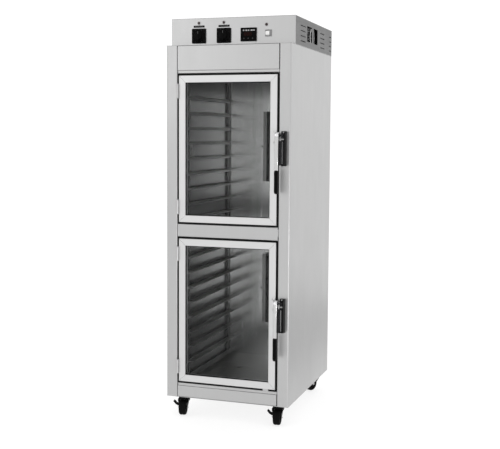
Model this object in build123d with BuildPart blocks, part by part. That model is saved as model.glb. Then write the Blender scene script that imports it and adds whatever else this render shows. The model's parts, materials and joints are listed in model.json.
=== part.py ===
from build123d import *
import os
from math import cos, radians, sin

# Two-door proofing cabinet: insulated stainless body on casters, a chamber with
# two banks of pan slides, and a control box with the heat and humidity gear on top.
# Millimetres. +Z is up, the doors face -Y, the hinges are on the left (-X), and the
# origin lies on the floor below the middle of the overall depth.

# ---- driving dimensions -------------------------------------------------------------
BODY_W = 635.0            # over the side skins
BODY_D = 780.0            # front of the stiles to the rear returns
BODY_H = 1740.0           # underside of the base to the top of the roof
CASTER_H = 102.0          # floor to the underside of the base
BOX_H = 135.0             # control box above the roof
BOX_SETBACK = 66.0        # control box front, behind the stiles
FRONT_PROUD = 62.0        # grips in front of the stiles
REAR_PROUD = 18.0         # power inlet behind the rear returns
SHEET = 1.5               # stainless sheet, shown a little heavy
STILE_W = 57.0            # front stile, part of each side skin
OPEN_H = 735.0            # one door opening
MID_RAIL_H = 62.0
LOWER_OPEN_Z = 174.0      # sill of the lower opening
RAIL_STEP = 15.0          # set-back strip next to the openings on header and bottom rail
RAIL_STEP_D = 6.0
JAMB_D = 45.0             # depth of the jambs, front of the stile to the liner
LIP = 10.0                # door stop lip at the inner edge of the side jambs
DOOR_GAP = 10.0
DOOR_T = 36.0
DOOR_PROUD = 3.0          # door face in front of the stiles
DOOR_MEMBER = 34.0        # width of the door frame's members
LINER_X = 262.0           # inner faces of the chamber
LINER_BACK = 732.0        # chamber back wall, behind the front of the stiles
FLOOR_Z = 168.0
CEILING_Z = 1760.0
PAN_PITCH = 76.2          # three inches between pan slides
SLIDES_PER_BANK = 9
BANK_BASE_Z = (187.0, 992.0)
CASTER_X = 249.0
CASTER_FRONT = 60.0       # front and rear swivel axes, behind the front of the stiles
CASTER_REAR = 719.0
WHEEL_R = 38.0
HANDLE_RISE = 91.0        # top of the latch above the middle of its door
RUN_FIT = 0.05            # radial clearance of pins that turn

# ---- worked out ---------------------------------------------------------------------
FRONT = -(BODY_D + REAR_PROUD - FRONT_PROUD) / 2
REAR = FRONT + BODY_D
BODY_Z0 = CASTER_H
BODY_Z1 = CASTER_H + BODY_H
BOX_Z1 = BODY_Z1 + BOX_H
SIDE_X = BODY_W / 2
OPEN_X = SIDE_X - STILE_W
UPPER_OPEN_Z = LOWER_OPEN_Z + OPEN_H + MID_RAIL_H
OPENING_TOP = UPPER_OPEN_Z + OPEN_H
HALF_SHEET = SHEET / 2
SKIN_Z0 = BODY_Z0 + 2.0
SKIN_Z1 = BODY_Z1 - SHEET
DOOR_HALF_W = OPEN_X - DOOR_GAP
DOOR_H = OPEN_H - 2 * DOOR_GAP
DOOR_FACE = FRONT - DOOR_PROUD
PANEL_FACE = FRONT + BOX_SETBACK
PIVOT_X = -OPEN_X + 4.5   # door hinge pin
PIVOT_Y = FRONT - 8.0


def block(x, y, z, mode=Mode.ADD):
    """Box between a low and a high bound on each axis."""
    with Locations(((x[0] + x[1]) / 2, (y[0] + y[1]) / 2, (z[0] + z[1]) / 2)):
        Box(x[1] - x[0], y[1] - y[0], z[1] - z[0], mode=mode)


def rod(centre, radius, length, axis="Z", mode=Mode.ADD):
    """Cylinder with its middle at centre, along one axis."""
    turns = {"X": (0, 90, 0), "Y": (90, 0, 0), "Z": (0, 0, 0)}
    with Locations(Location(centre, turns[axis])):
        Cylinder(radius, length, mode=mode)


def folded_rail(points, bend, half_width):
    """Sheet folded along a profile in the YZ plane and run across the front."""
    with BuildPart() as rail:
        with BuildSketch(Plane.YZ.offset(-half_width)):
            with BuildLine():
                FilletPolyline(*points, radius=bend)
            trace(line_width=SHEET)
        extrude(amount=2 * half_width)
        lip_y = (FRONT + JAMB_D - 2 * SHEET, FRONT + JAMB_D + 1)
        for side in (-1, 1):
            end_x = sorted((side * (OPEN_X - LIP), side * (half_width + 1)))
            block(end_x, lip_y, (BODY_Z0, BODY_Z1), mode=Mode.SUBTRACT)
    return rail


def save(piece, label):
    """Name a finished piece and write it out."""
    piece.part.label = label
    export_step(piece.part, f"parts/{label}.step")


os.makedirs("parts", exist_ok=True)

# ---- outer skins --------------------------------------------------------------------
STILE_BEND = 7.0
JAMB_BEND = 4.0
LIP_BEND = 2.0
REAR_RETURN = 30.0


def side_panel(side):
    """Side skin, rolled round the stile into the jamb, with a return at the back."""
    jamb_back = FRONT + JAMB_D - HALF_SHEET
    jamb_x = OPEN_X + HALF_SHEET
    skin_x = SIDE_X - HALF_SHEET
    with BuildPart() as panel:
        with BuildSketch(Plane.XY.offset(SKIN_Z0)):
            with BuildLine():
                FilletPolyline(
                    (side * (OPEN_X - LIP), jamb_back),
                    (side * jamb_x, jamb_back),
                    (side * jamb_x, FRONT + HALF_SHEET),
                    (side * skin_x, FRONT + HALF_SHEET),
                    (side * skin_x, REAR - HALF_SHEET),
                    (side * (skin_x - REAR_RETURN), REAR - HALF_SHEET),
                    radius=[LIP_BEND, JAMB_BEND, STILE_BEND, LIP_BEND],
                )
            trace(line_width=SHEET)
        extrude(amount=SKIN_Z1 - SKIN_Z0)
    return panel


save(side_panel(-1), "left_side_panel")
save(side_panel(1), "right_side_panel")

RAIL_HALF_W = OPEN_X - 2.5      # leaves a narrow seam beside each stile
RAIL_BEND = 2.5
FACE_Y = FRONT + HALF_SHEET
STEP_Y = FACE_Y + RAIL_STEP_D
JAMB_Y = FRONT + JAMB_D - HALF_SHEET

header_points = (
    (FACE_Y + 20, SKIN_Z1 - HALF_SHEET),
    (FACE_Y, SKIN_Z1 - HALF_SHEET),
    (FACE_Y, OPENING_TOP + RAIL_STEP),
    (STEP_Y, OPENING_TOP + RAIL_STEP),
    (STEP_Y, OPENING_TOP + HALF_SHEET),
    (JAMB_Y, OPENING_TOP + HALF_SHEET),
    (JAMB_Y, CEILING_Z),
)
save(folded_rail(header_points, RAIL_BEND, RAIL_HALF_W), "header_panel")

mid_low = LOWER_OPEN_Z + OPEN_H + HALF_SHEET
mid_high = UPPER_OPEN_Z - HALF_SHEET
mid_points = (
    (JAMB_Y, mid_low + 14),
    (JAMB_Y, mid_low),
    (FACE_Y, mid_low),
    (FACE_Y, mid_high),
    (JAMB_Y, mid_high),
    (JAMB_Y, mid_high - 14),
)
save(folded_rail(mid_points, RAIL_BEND, RAIL_HALF_W), "mid_rail")

sill = LOWER_OPEN_Z - HALF_SHEET
bottom_points = (
    (FACE_Y + 20, SKIN_Z0 + HALF_SHEET),
    (FACE_Y, SKIN_Z0 + HALF_SHEET),
    (FACE_Y, LOWER_OPEN_Z - RAIL_STEP),
    (STEP_Y, LOWER_OPEN_Z - RAIL_STEP),
    (STEP_Y, sill),
    (JAMB_Y, sill),
    (JAMB_Y, FLOOR_Z),
)
save(folded_rail(bottom_points, RAIL_BEND, RAIL_HALF_W), "bottom_rail")

REAR_PANEL_Y = (REAR - 2 * SHEET, REAR - SHEET)
with BuildPart() as rear_panel:
    block((-SIDE_X + 8, SIDE_X - 8), REAR_PANEL_Y, (SKIN_Z0, SKIN_Z1))
save(rear_panel, "rear_panel")

AIR_PORT = (340.0, 100.0)        # air opening between the chamber and the control box
AIR_PORT_Y = FRONT + 600.0


def cap_sheet(z, thickness, x_half, y_low, y_high, port=False):
    """Flat sheet that closes the body or the chamber, with the air port cut if asked."""
    with BuildPart() as sheet:
        block((-x_half, x_half), (y_low, y_high), (z, z + thickness))
        if port:
            with Locations((0, AIR_PORT_Y, z)):
                Box(AIR_PORT[0], AIR_PORT[1], 4 * thickness, mode=Mode.SUBTRACT)
    return sheet


save(cap_sheet(SKIN_Z1, SHEET, SIDE_X, FRONT, REAR, port=True), "roof_panel")
save(cap_sheet(BODY_Z0, SKIN_Z0 - BODY_Z0, SIDE_X, FRONT, REAR), "base_pan")

# ---- chamber ------------------------------------------------------------------------
LINER_Y0 = FRONT + JAMB_D
LINER_Y1 = FRONT + LINER_BACK
LINER_BEND = 10.0

with BuildPart() as liner_wrap:
    with BuildSketch(Plane.XY.offset(FLOOR_Z)):
        with BuildLine():
            FilletPolyline(
                (-LINER_X - HALF_SHEET, LINER_Y0),
                (-LINER_X - HALF_SHEET, LINER_Y1 + HALF_SHEET),
                (LINER_X + HALF_SHEET, LINER_Y1 + HALF_SHEET),
                (LINER_X + HALF_SHEET, LINER_Y0),
                radius=LINER_BEND,
            )
        trace(line_width=SHEET)
    extrude(amount=CEILING_Z - FLOOR_Z)
save(liner_wrap, "liner_wrap")

CAP_X = LINER_X + 2 * SHEET
CAP_Y1 = LINER_Y1 + 2 * SHEET
with BuildPart() as liner_ends:
    for low_z in (CEILING_Z, FLOOR_Z - SHEET):
        block((-CAP_X, CAP_X), (LINER_Y0, CAP_Y1), (low_z, low_z + SHEET))
    with Locations((0, AIR_PORT_Y, CEILING_Z)):
        Box(AIR_PORT[0], AIR_PORT[1], 4 * SHEET, mode=Mode.SUBTRACT)
save(liner_ends, "liner_ends")

# Blankets of insulation, thinner than the space they stand in.
BATT_T = 30.0
BATT_GAP = 12.0
BATT_HALF_W = 250.0
BATT_Z = (FLOOR_Z + 10, CEILING_Z - 10)
batt_y = (FRONT + 60, LINER_Y1 - 2)
batt_rear = (LINER_Y1 + 6, LINER_Y1 + 6 + BATT_T)
batt_x = (-BATT_HALF_W, BATT_HALF_W)
with BuildPart() as insulation_batts:
    for side in (-1, 1):
        near = side * (LINER_X + BATT_GAP)
        far = side * (LINER_X + BATT_GAP + BATT_T)
        block(sorted((near, far)), batt_y, BATT_Z)
    block(batt_x, batt_rear, BATT_Z)
    block(batt_x, (batt_y[0], AIR_PORT_Y - 80), (CEILING_Z + 20, CEILING_Z + 20 + BATT_T))
    block(batt_x, batt_y, (BODY_Z0 + 10, BODY_Z0 + 10 + BATT_T))
save(insulation_batts, "insulation_batts")

POST_W = 12.0
POST_Y = (FRONT + 130.0, LINER_Y1 - 17.0)
SLIDE_X = LINER_X - POST_W
with BuildPart() as rack_posts:
    with BuildSketch(Plane.XY.offset(FLOOR_Z)):
        for side in (-1, 1):
            for post_y in POST_Y:
                with Locations((side * (LINER_X - POST_W / 2), post_y)):
                    Rectangle(POST_W, POST_W)
                    Rectangle(POST_W - 2 * SHEET, POST_W - 2 * SHEET, mode=Mode.SUBTRACT)
    extrude(amount=CEILING_Z - FLOOR_Z - SHEET)
save(rack_posts, "rack_posts")

LEDGE_W = 37.0
SLIDE_LEG = 16.0
SLIDE_SHEET = 2.0
SLIDE_Y = (FRONT + 112.0, LINER_Y1 - 6.0)
slide_levels = [
    base + i * PAN_PITCH for base in BANK_BASE_Z for i in range(SLIDES_PER_BANK)
]
with BuildPart() as pan_slides:
    for level in slide_levels:
        for side in (-1, 1):
            outer = side * SLIDE_X
            inner = side * (SLIDE_X - LEDGE_W)
            leg = side * (SLIDE_X - SLIDE_SHEET)
            block(sorted((outer, inner)), SLIDE_Y, (level - SLIDE_SHEET, level))
            block(sorted((outer, leg)), SLIDE_Y, (level - SLIDE_LEG, level))
save(pan_slides, "pan_slides")

# Perforated guards over the temperature probes, standing off the back wall.
GUARD_X = (-42.0, -2.0)
GUARD_Y = (LINER_Y1 - 39.0, LINER_Y1 - 27.0)
GUARD_Z = ((366.0, 750.0), (1155.0, 1539.0))
GUARD_SLOT_H = 20.0
GUARD_SLOT_PITCH = 40.0
BRACKET_H = 16.0
guard_mid_x = sum(GUARD_X) / 2
with BuildPart() as probe_guards:
    for low, high in GUARD_Z:
        block(GUARD_X, GUARD_Y, (low, high))
        slots = int((high - low) // GUARD_SLOT_PITCH)
        for i in range(slots):
            slot_z = low + (i + 0.5) * (high - low) / slots
            slot_x = (guard_mid_x - 3, guard_mid_x + 3)
            slot_ends = (slot_z - GUARD_SLOT_H / 2, slot_z + GUARD_SLOT_H / 2)
            block(slot_x, (GUARD_Y[0] - 1, GUARD_Y[1] + 1), slot_ends, mode=Mode.SUBTRACT)
        for end_z in (low, high - BRACKET_H):
            bracket_x = (guard_mid_x - 6, guard_mid_x + 6)
            block(bracket_x, (GUARD_Y[1], LINER_Y1), (end_z, end_z + BRACKET_H))
        knob_spot = (GUARD_X[0] - 5, sum(GUARD_Y) / 2, (low + high) / 2)
        rod(knob_spot, 5, 10, "X")
save(probe_guards, "probe_guards")

GRILLE_SLOTS = 11
GRILLE_PITCH = 9.0
GRILLE_SIZE = (370.0, 130.0)
grille_x = (-GRILLE_SIZE[0] / 2, GRILLE_SIZE[0] / 2)
grille_y = (AIR_PORT_Y - GRILLE_SIZE[1] / 2, AIR_PORT_Y + GRILLE_SIZE[1] / 2)
with BuildPart() as ceiling_grille:
    block(grille_x, grille_y, (CEILING_Z - SHEET, CEILING_Z))
    for i in range(GRILLE_SLOTS):
        slot_mid = AIR_PORT_Y + (i - (GRILLE_SLOTS - 1) / 2) * GRILLE_PITCH
        slot_y = (slot_mid - GRILLE_PITCH * 0.28, slot_mid + GRILLE_PITCH * 0.28)
        block((-160, 160), slot_y, (CEILING_Z - 3, CEILING_Z + 1), mode=Mode.SUBTRACT)
save(ceiling_grille, "ceiling_grille")

# ---- control box --------------------------------------------------------------------
DIAL_X = (-172.5, -43.0)
DIAL_Z = BODY_Z1 + 48.5
BEZEL = 72.0
DIAL_HOLE = 30.5          # half of the square hole behind a bezel
METER_X = 83.8
METER_Z = BODY_Z1 + 49.5
METER_SIZE = (80.0, 65.0)
SWITCH_X = 183.5
SWITCH_Z = BODY_Z1 + 54.0
SWITCH_HALF = 16.0
SWITCH_HOLE = 14.0
PILOT_SPOTS = ((-173.0, BODY_Z1 + 111), (-43.6, BODY_Z1 + 111), (173.6, BODY_Z1 + 95))
PILOT_R = 5.3
INLET_X = -230.0
INLET_Z = BODY_Z1 + 60.0
INLET_R = 11.0
CORD_BORE_R = 6.0


def panel_hole(x, z, half_w, half_h):
    """Square hole through the control panel."""
    cut_y = (PANEL_FACE - 2, PANEL_FACE + 4)
    block((x - half_w, x + half_w), cut_y, (z - half_h, z + half_h), mode=Mode.SUBTRACT)


with BuildPart() as control_panel:
    panel_y = (PANEL_FACE, PANEL_FACE + SHEET)
    foot_y = (PANEL_FACE, PANEL_FACE + 16)
    block((-SIDE_X, SIDE_X), panel_y, (BODY_Z1, BOX_Z1 - SHEET - 0.1))
    block((-SIDE_X + 2, SIDE_X - 2), foot_y, (BODY_Z1, BODY_Z1 + SHEET))
    for dial_x in DIAL_X:
        panel_hole(dial_x, DIAL_Z, DIAL_HOLE, DIAL_HOLE)
    panel_hole(METER_X, METER_Z, METER_SIZE[0] / 2 - 3, METER_SIZE[1] / 2 - 3.5)
    panel_hole(SWITCH_X, SWITCH_Z, SWITCH_HOLE, SWITCH_HOLE)
    for pilot_x, pilot_z in PILOT_SPOTS:
        rod((pilot_x, PANEL_FACE, pilot_z), PILOT_R + 0.2, 12, "Y", mode=Mode.SUBTRACT)
save(control_panel, "control_panel")

LOUVRE_H = 5.0
LOUVRE_ROWS = [BODY_Z1 + 24 + i * 24.3 for i in range(4)]
LOUVRE_SPANS = ((156.0, 244.0), (534.0, 617.0), (724.0, 765.0))
WINDOW_SPANS = ((274.0, 367.0), (397.0, 477.0))
WINDOW_Z = (BODY_Z1 + 30, BODY_Z1 + 106)
BOX_Y0 = PANEL_FACE + SHEET + 0.1
LID_Z = BOX_Z1 - SHEET

with BuildPart() as control_box_lid:
    block((-SIDE_X, SIDE_X), (PANEL_FACE, REAR), (LID_Z, BOX_Z1))
save(control_box_lid, "control_box_lid")

# Two slotted sides and a back, each a sheet of its own under the lid.
with BuildPart() as control_box_sides:
    wall_z = (BODY_Z1, LID_Z)
    for side in (-1, 1):
        wall_x = sorted((side * SIDE_X, side * (SIDE_X - SHEET)))
        block(wall_x, (BOX_Y0, REAR), wall_z)
    block((-SIDE_X + SHEET + 0.1, SIDE_X - SHEET - 0.1), (REAR - SHEET, REAR), wall_z)
    for row_z in LOUVRE_ROWS:
        for span in LOUVRE_SPANS:
            cut_y = (FRONT + span[0], FRONT + span[1])
            cut_z = (row_z - LOUVRE_H / 2, row_z + LOUVRE_H / 2)
            block((-SIDE_X - 1, SIDE_X + 1), cut_y, cut_z, mode=Mode.SUBTRACT)
    for span in WINDOW_SPANS:
        cut_y = (FRONT + span[0], FRONT + span[1])
        block((-SIDE_X - 1, SIDE_X + 1), cut_y, WINDOW_Z, mode=Mode.SUBTRACT)
    rod((INLET_X, REAR, INLET_Z), INLET_R + 0.5, 8, "Y", mode=Mode.SUBTRACT)
save(control_box_sides, "control_box_sides")

SHAFT_R = 3.0


def thermostat(x, label):
    """Square bezel and body of one thermostat, bored for its dial's shaft."""
    with BuildPart() as unit:
        with BuildSketch(Plane.XZ.offset(-PANEL_FACE)):
            with Locations((x, DIAL_Z)):
                RectangleRounded(BEZEL, BEZEL, 5)
        extrude(amount=6)
        with BuildSketch(Plane.XZ.offset(-PANEL_FACE + 6)):
            with Locations((x, DIAL_Z)):
                Circle(33)
        extrude(amount=-3, mode=Mode.SUBTRACT)
        block((x - 30, x + 30), (PANEL_FACE, PANEL_FACE + 45), (DIAL_Z - 30, DIAL_Z + 30))
        rod((x, PANEL_FACE + 5, DIAL_Z), SHAFT_R + RUN_FIT, 34, "Y", mode=Mode.SUBTRACT)
    save(unit, label)


def dial(x, label):
    """Turning dial with a raised grip bar and its shaft."""
    with BuildPart() as knob:
        rod((x, PANEL_FACE - 8, DIAL_Z), 29, 8, "Y")
        fillet(knob.edges().group_by(Axis.Y)[0], 2)
        block((x - 5, x + 5), (PANEL_FACE - 20, PANEL_FACE - 11), (DIAL_Z - 25, DIAL_Z + 25))
        rod((x, PANEL_FACE + 6, DIAL_Z), SHAFT_R, 28, "Y")
    save(knob, label)


for dial_x, name in zip(DIAL_X, ("heat", "humidity")):
    thermostat(dial_x, f"{name}_thermostat")
    dial(dial_x, f"{name}_dial")

with BuildPart() as digital_thermometer:
    half_w = METER_SIZE[0] / 2
    half_h = METER_SIZE[1] / 2
    bezel_x = (METER_X - half_w, METER_X + half_w)
    bezel_z = (METER_Z - half_h, METER_Z + half_h)
    block(bezel_x, (PANEL_FACE - 6, PANEL_FACE), bezel_z)
    fillet(digital_thermometer.edges().filter_by(Axis.Y), 3)
    pane_x = (bezel_x[0] + 6, bezel_x[1] - 6)
    pane_z = (bezel_z[0] + 6.5, bezel_z[1] - 6.5)
    block(pane_x, (PANEL_FACE - 7, PANEL_FACE - 4.5), pane_z, mode=Mode.SUBTRACT)
    case_x = (bezel_x[0] + 3.5, bezel_x[1] - 3.5)
    case_z = (bezel_z[0] + 4, bezel_z[1] - 4)
    block(case_x, (PANEL_FACE, PANEL_FACE + 60), case_z)
save(digital_thermometer, "digital_thermometer")

ROCKER_X = (169.5, 188.5)
ROCKER_R = 13.0
ROCKER_Y = PANEL_FACE + 7.0
ROCKER_TILT = 9.0         # tilt at rest; the paddle's two flats stand 14 degrees either side
ROCKER_FLAT = 14.0
ROCKER_FIT = 0.3
with BuildPart() as power_switch_housing:
    rim_x = (SWITCH_X - SWITCH_HALF, SWITCH_X + SWITCH_HALF)
    rim_z = (SWITCH_Z - SWITCH_HALF, SWITCH_Z + SWITCH_HALF)
    block(rim_x, (PANEL_FACE - 3, PANEL_FACE), rim_z)
    case_half = SWITCH_HOLE - 0.2
    case_x = (SWITCH_X - case_half, SWITCH_X + case_half)
    case_z = (SWITCH_Z - case_half, SWITCH_Z + case_half)
    block(case_x, (PANEL_FACE, PANEL_FACE + 30), case_z)
    pocket_x = (ROCKER_X[0] - ROCKER_FIT, ROCKER_X[1] + ROCKER_FIT)
    pocket_z = (SWITCH_Z - ROCKER_R - ROCKER_FIT, SWITCH_Z + ROCKER_R + ROCKER_FIT)
    block(pocket_x, (PANEL_FACE - 4, ROCKER_Y + ROCKER_R + 1), pocket_z, mode=Mode.SUBTRACT)
save(power_switch_housing, "power_switch_housing")

with BuildPart() as power_rocker:
    rocker_mid = (ROCKER_X[0] + ROCKER_X[1]) / 2
    rod((rocker_mid, ROCKER_Y, SWITCH_Z), ROCKER_R, ROCKER_X[1] - ROCKER_X[0], "X")
    for tilt in (ROCKER_TILT - ROCKER_FLAT, ROCKER_TILT + ROCKER_FLAT):
        outward = (0, -cos(radians(tilt)), sin(radians(tilt)))
        flat = Plane((rocker_mid, ROCKER_Y, SWITCH_Z), x_dir=(1, 0, 0), z_dir=outward)
        with BuildSketch(flat.offset(ROCKER_R - 1.5)):
            Rectangle(3 * ROCKER_R, 4 * ROCKER_R)
        extrude(amount=ROCKER_R, mode=Mode.SUBTRACT)
save(power_rocker, "power_rocker")

with BuildPart() as pilot_lights:
    for pilot_x, pilot_z in PILOT_SPOTS:
        rod((pilot_x, PANEL_FACE - 2, pilot_z), PILOT_R + 1.7, 4, "Y")
        rod((pilot_x, PANEL_FACE + 12, pilot_z), PILOT_R, 24, "Y")
    fillet(pilot_lights.edges().group_by(Axis.Y)[0], 2.5)
save(pilot_lights, "pilot_lights")

# Circulation blower, seen through the vent windows on the right.
BLOWER_Y = FRONT + 437.0
BLOWER_Z = BODY_Z1 + 66.0
MOTOR_X = (197.0, 253.0)
MOTOR_R = 30.0
MOTOR_SHAFT_R = 4.0
ROTOR_X = (266.0, 301.0)
ROTOR_R = 48.0
HUB_R = 10.0
BLADES = 14
BLADE_R = 44.0
motor_mid = sum(MOTOR_X) / 2
with BuildPart() as blower_motor:
    rod((motor_mid, BLOWER_Y, BLOWER_Z), MOTOR_R, MOTOR_X[1] - MOTOR_X[0], "X")
    foot_x = (motor_mid - 20, motor_mid + 20)
    block(foot_x, (BLOWER_Y - 34, BLOWER_Y + 34), (BODY_Z1, BODY_Z1 + 3))
    stand_x = (motor_mid - 10, motor_mid + 10)
    block(stand_x, (BLOWER_Y - 12, BLOWER_Y + 12), (BODY_Z1, BLOWER_Z))
    shaft_end = ROTOR_X[1] - 1
    shaft_spot = ((MOTOR_X[1] + shaft_end) / 2, BLOWER_Y, BLOWER_Z)
    rod(shaft_spot, MOTOR_SHAFT_R, shaft_end - MOTOR_X[1], "X")
save(blower_motor, "blower_motor")

with BuildPart() as blower_wheel:
    rod((ROTOR_X[0] + 1, BLOWER_Y, BLOWER_Z), ROTOR_R, 2, "X")
    rod((ROTOR_X[0] + 6, BLOWER_Y, BLOWER_Z), HUB_R, 12, "X")
    with BuildSketch(Plane.YZ.offset(ROTOR_X[1] - 2)):
        with Locations((BLOWER_Y, BLOWER_Z)):
            Circle(ROTOR_R)
            Circle(ROTOR_R - 8, mode=Mode.SUBTRACT)
    extrude(amount=2)
    with BuildSketch(Plane.YZ.offset(ROTOR_X[0] + 1)):
        with Locations((BLOWER_Y, BLOWER_Z)):
            with PolarLocations(BLADE_R, BLADES, rotate=True):
                Rectangle(7, 1.6, rotation=35)
    extrude(amount=ROTOR_X[1] - ROTOR_X[0] - 2)
    bore_spot = (ROTOR_X[0] + 4, BLOWER_Y, BLOWER_Z)
    rod(bore_spot, MOTOR_SHAFT_R + RUN_FIT, 20, "X", mode=Mode.SUBTRACT)
save(blower_wheel, "blower_wheel")

with BuildPart() as contactor:
    contactor_y = FRONT + 320.0
    block((255, 300), (contactor_y - 34, contactor_y + 34), (BODY_Z1, BODY_Z1 + 74))
    for i in range(3):
        slot_y = contactor_y + (i - 1) * 22
        block((280, 301), (slot_y - 6, slot_y + 6), (BODY_Z1 + 56, BODY_Z1 + 75), mode=Mode.SUBTRACT)
save(contactor, "contactor")

ELEMENT_R = 4.0
element_z = BODY_Z1 + 30
with BuildLine() as element_path:
    FilletPolyline(
        (-40, FRONT + 540, BODY_Z1),
        (-40, FRONT + 540, element_z),
        (-40, FRONT + 660, element_z),
        (10, FRONT + 660, element_z),
        (10, FRONT + 560, element_z),
        (60, FRONT + 560, element_z),
        (60, FRONT + 660, element_z),
        (110, FRONT + 660, element_z),
        (110, FRONT + 540, element_z),
        (110, FRONT + 540, BODY_Z1),
        radius=12,
    )
with BuildPart() as air_heater_element:
    with BuildSketch(Plane((-40, FRONT + 540, BODY_Z1), z_dir=(0, 0, 1))):
        Circle(ELEMENT_R)
    sweep(path=element_path.wires()[0])
save(air_heater_element, "air_heater_element")

TANK_X = (-290.0, -100.0)
TANK_Y = (FRONT + 290.0, FRONT + 530.0)
TANK_Z = (BODY_Z1, BODY_Z1 + 92.0)
TANK_WALL = 3.0
with BuildPart() as humidity_tank:
    block(TANK_X, TANK_Y, TANK_Z)
    fillet(humidity_tank.edges().filter_by(Axis.Z), 8)
    inner_x = (TANK_X[0] + TANK_WALL, TANK_X[1] - TANK_WALL)
    inner_y = (TANK_Y[0] + TANK_WALL, TANK_Y[1] - TANK_WALL)
    block(inner_x, inner_y, (TANK_Z[0] + TANK_WALL, TANK_Z[1] + 1), mode=Mode.SUBTRACT)
save(humidity_tank, "humidity_tank")

with BuildPart() as power_inlet:
    block((INLET_X - 22, INLET_X + 22), (REAR, REAR + 3), (INLET_Z - 16, INLET_Z + 16))
    rod((INLET_X, REAR + REAR_PROUD / 2, INLET_Z), INLET_R, REAR_PROUD, "Y")
    rod((INLET_X, REAR - 5, INLET_Z), INLET_R, 20, "Y")
    rod((INLET_X, REAR + 10, INLET_Z), CORD_BORE_R, 60, "Y", mode=Mode.SUBTRACT)
save(power_inlet, "power_inlet")

SCREW_R = 4.5
SCREW_HEAD = 2.4
with BuildPart() as panel_screws:
    for side in (-1, 1):
        for i in range(8):
            rod((side * 292, REAR + SCREW_HEAD / 2, 200 + i * 222), SCREW_R, SCREW_HEAD, "Y")
    for x in (-280, -100, 100, 280):
        rod((x, REAR + SCREW_HEAD / 2, BOX_Z1 - 12), SCREW_R, SCREW_HEAD, "Y")
    fillet(panel_screws.edges().group_by(Axis.Y)[-1], 1.5)
save(panel_screws, "panel_screws")

# ---- doors --------------------------------------------------------------------------
GLASS_Y = (FRONT + 6.0, FRONT + 12.0)
GLASS_GRIP = 5.0
GASKET_PROUD = 8.5
GASKET_Y = (FRONT + 3.0, FRONT + 12.0)
HINGE_INSET = 75.0
HINGE_HALF = 35.0
KNUCKLE_R = 6.0
PIN_R = 3.0
LEAF_T = 2.0
LEAF_BACK = FRONT + 28.0
KNUCKLE_GAP = 0.4
LEVER_W = 18.0
LEVER_X = (254.5, 254.5 + LEVER_W)
BEARING_X = (244.0, 254.0)
LEVER_LEN = 186.0
GRIP_LEN = 109.0
SPINDLE_R = 4.5
SPINDLE_Y = FRONT - 36.0
SPINDLE_DROP = 20.0
HUB_REACH = 16.0          # radius of the lever's hub
FINGER_X = (285.0, 294.0)
TANG_LEN = 60.0
TANG_Y = (FRONT - 54.0, FRONT - 48.0)
STRIKE_X = (273.5, 300.0)
STRIKE_D = 40.0
STRIKE_H = 165.0


def frame_ring(x_half, z_half, inner_x, inner_z, y, middle):
    """Rectangular ring facing the front, between two depths."""
    high = middle + z_half
    low = middle - z_half
    block((-x_half, x_half), y, (low, high))
    y_cut = (y[0] - 1, y[1] + 1)
    block((-inner_x, inner_x), y_cut, (middle - inner_z, middle + inner_z), mode=Mode.SUBTRACT)


def door_frame(middle, label):
    """Welded door frame with a groove for the glass."""
    half_h = DOOR_H / 2
    window_x = DOOR_HALF_W - DOOR_MEMBER
    window_z = half_h - DOOR_MEMBER
    with BuildPart() as frame:
        frame_y = (DOOR_FACE, DOOR_FACE + DOOR_T)
        frame_ring(DOOR_HALF_W, half_h, window_x, window_z, frame_y, middle)
        fillet(frame.edges().group_by(Axis.Y)[0], 1.5)
        groove_x = window_x + GLASS_GRIP
        groove_z = window_z + GLASS_GRIP
        groove_span_z = (middle - groove_z, middle + groove_z)
        block((-groove_x, groove_x), GLASS_Y, groove_span_z, mode=Mode.SUBTRACT)
    save(frame, label)


def door_glass(middle, label):
    """Tempered pane held in the frame's groove."""
    glass_x = DOOR_HALF_W - DOOR_MEMBER + GLASS_GRIP
    glass_z = DOOR_H / 2 - DOOR_MEMBER + GLASS_GRIP
    with BuildPart() as glass:
        block((-glass_x, glass_x), GLASS_Y, (middle - glass_z, middle + glass_z))
    save(glass, label)


def door_gasket(middle, hinge_levels, label):
    """Black seal round the door's edge, left out behind the hinges."""
    half_h = DOOR_H / 2
    with BuildPart() as gasket:
        outer_x = DOOR_HALF_W + GASKET_PROUD
        outer_z = half_h + GASKET_PROUD
        frame_ring(outer_x, outer_z, DOOR_HALF_W, half_h, GASKET_Y, middle)
        for level in hinge_levels:
            notch_x = (-OPEN_X - 2, -DOOR_HALF_W)
            notch_y = (GASKET_Y[0] - 1, GASKET_Y[1] + 1)
            notch_z = (level - HINGE_HALF - 3, level + HINGE_HALF + 3)
            block(notch_x, notch_y, notch_z, mode=Mode.SUBTRACT)
    save(gasket, label)


def door_hinge_leaves(hinge_levels, label):
    """Upper hinge halves, bored to lift off their pins."""
    edge_x = (-DOOR_HALF_W - LEAF_T, -DOOR_HALF_W)
    with BuildPart() as leaves:
        for level in hinge_levels:
            upper_mid = level + HINGE_HALF / 2
            knuckle_spot = (PIVOT_X, PIVOT_Y, upper_mid + KNUCKLE_GAP / 2)
            rod(knuckle_spot, KNUCKLE_R, HINGE_HALF - KNUCKLE_GAP)
            block(edge_x, (PIVOT_Y, LEAF_BACK), (level + KNUCKLE_GAP, level + HINGE_HALF))
            block(edge_x, (FRONT - 1, LEAF_BACK), (level - HINGE_HALF, level + KNUCKLE_GAP))
            bore_spot = (PIVOT_X, PIVOT_Y, upper_mid)
            rod(bore_spot, PIN_R + RUN_FIT, HINGE_HALF + 2, mode=Mode.SUBTRACT)
    save(leaves, label)


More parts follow.
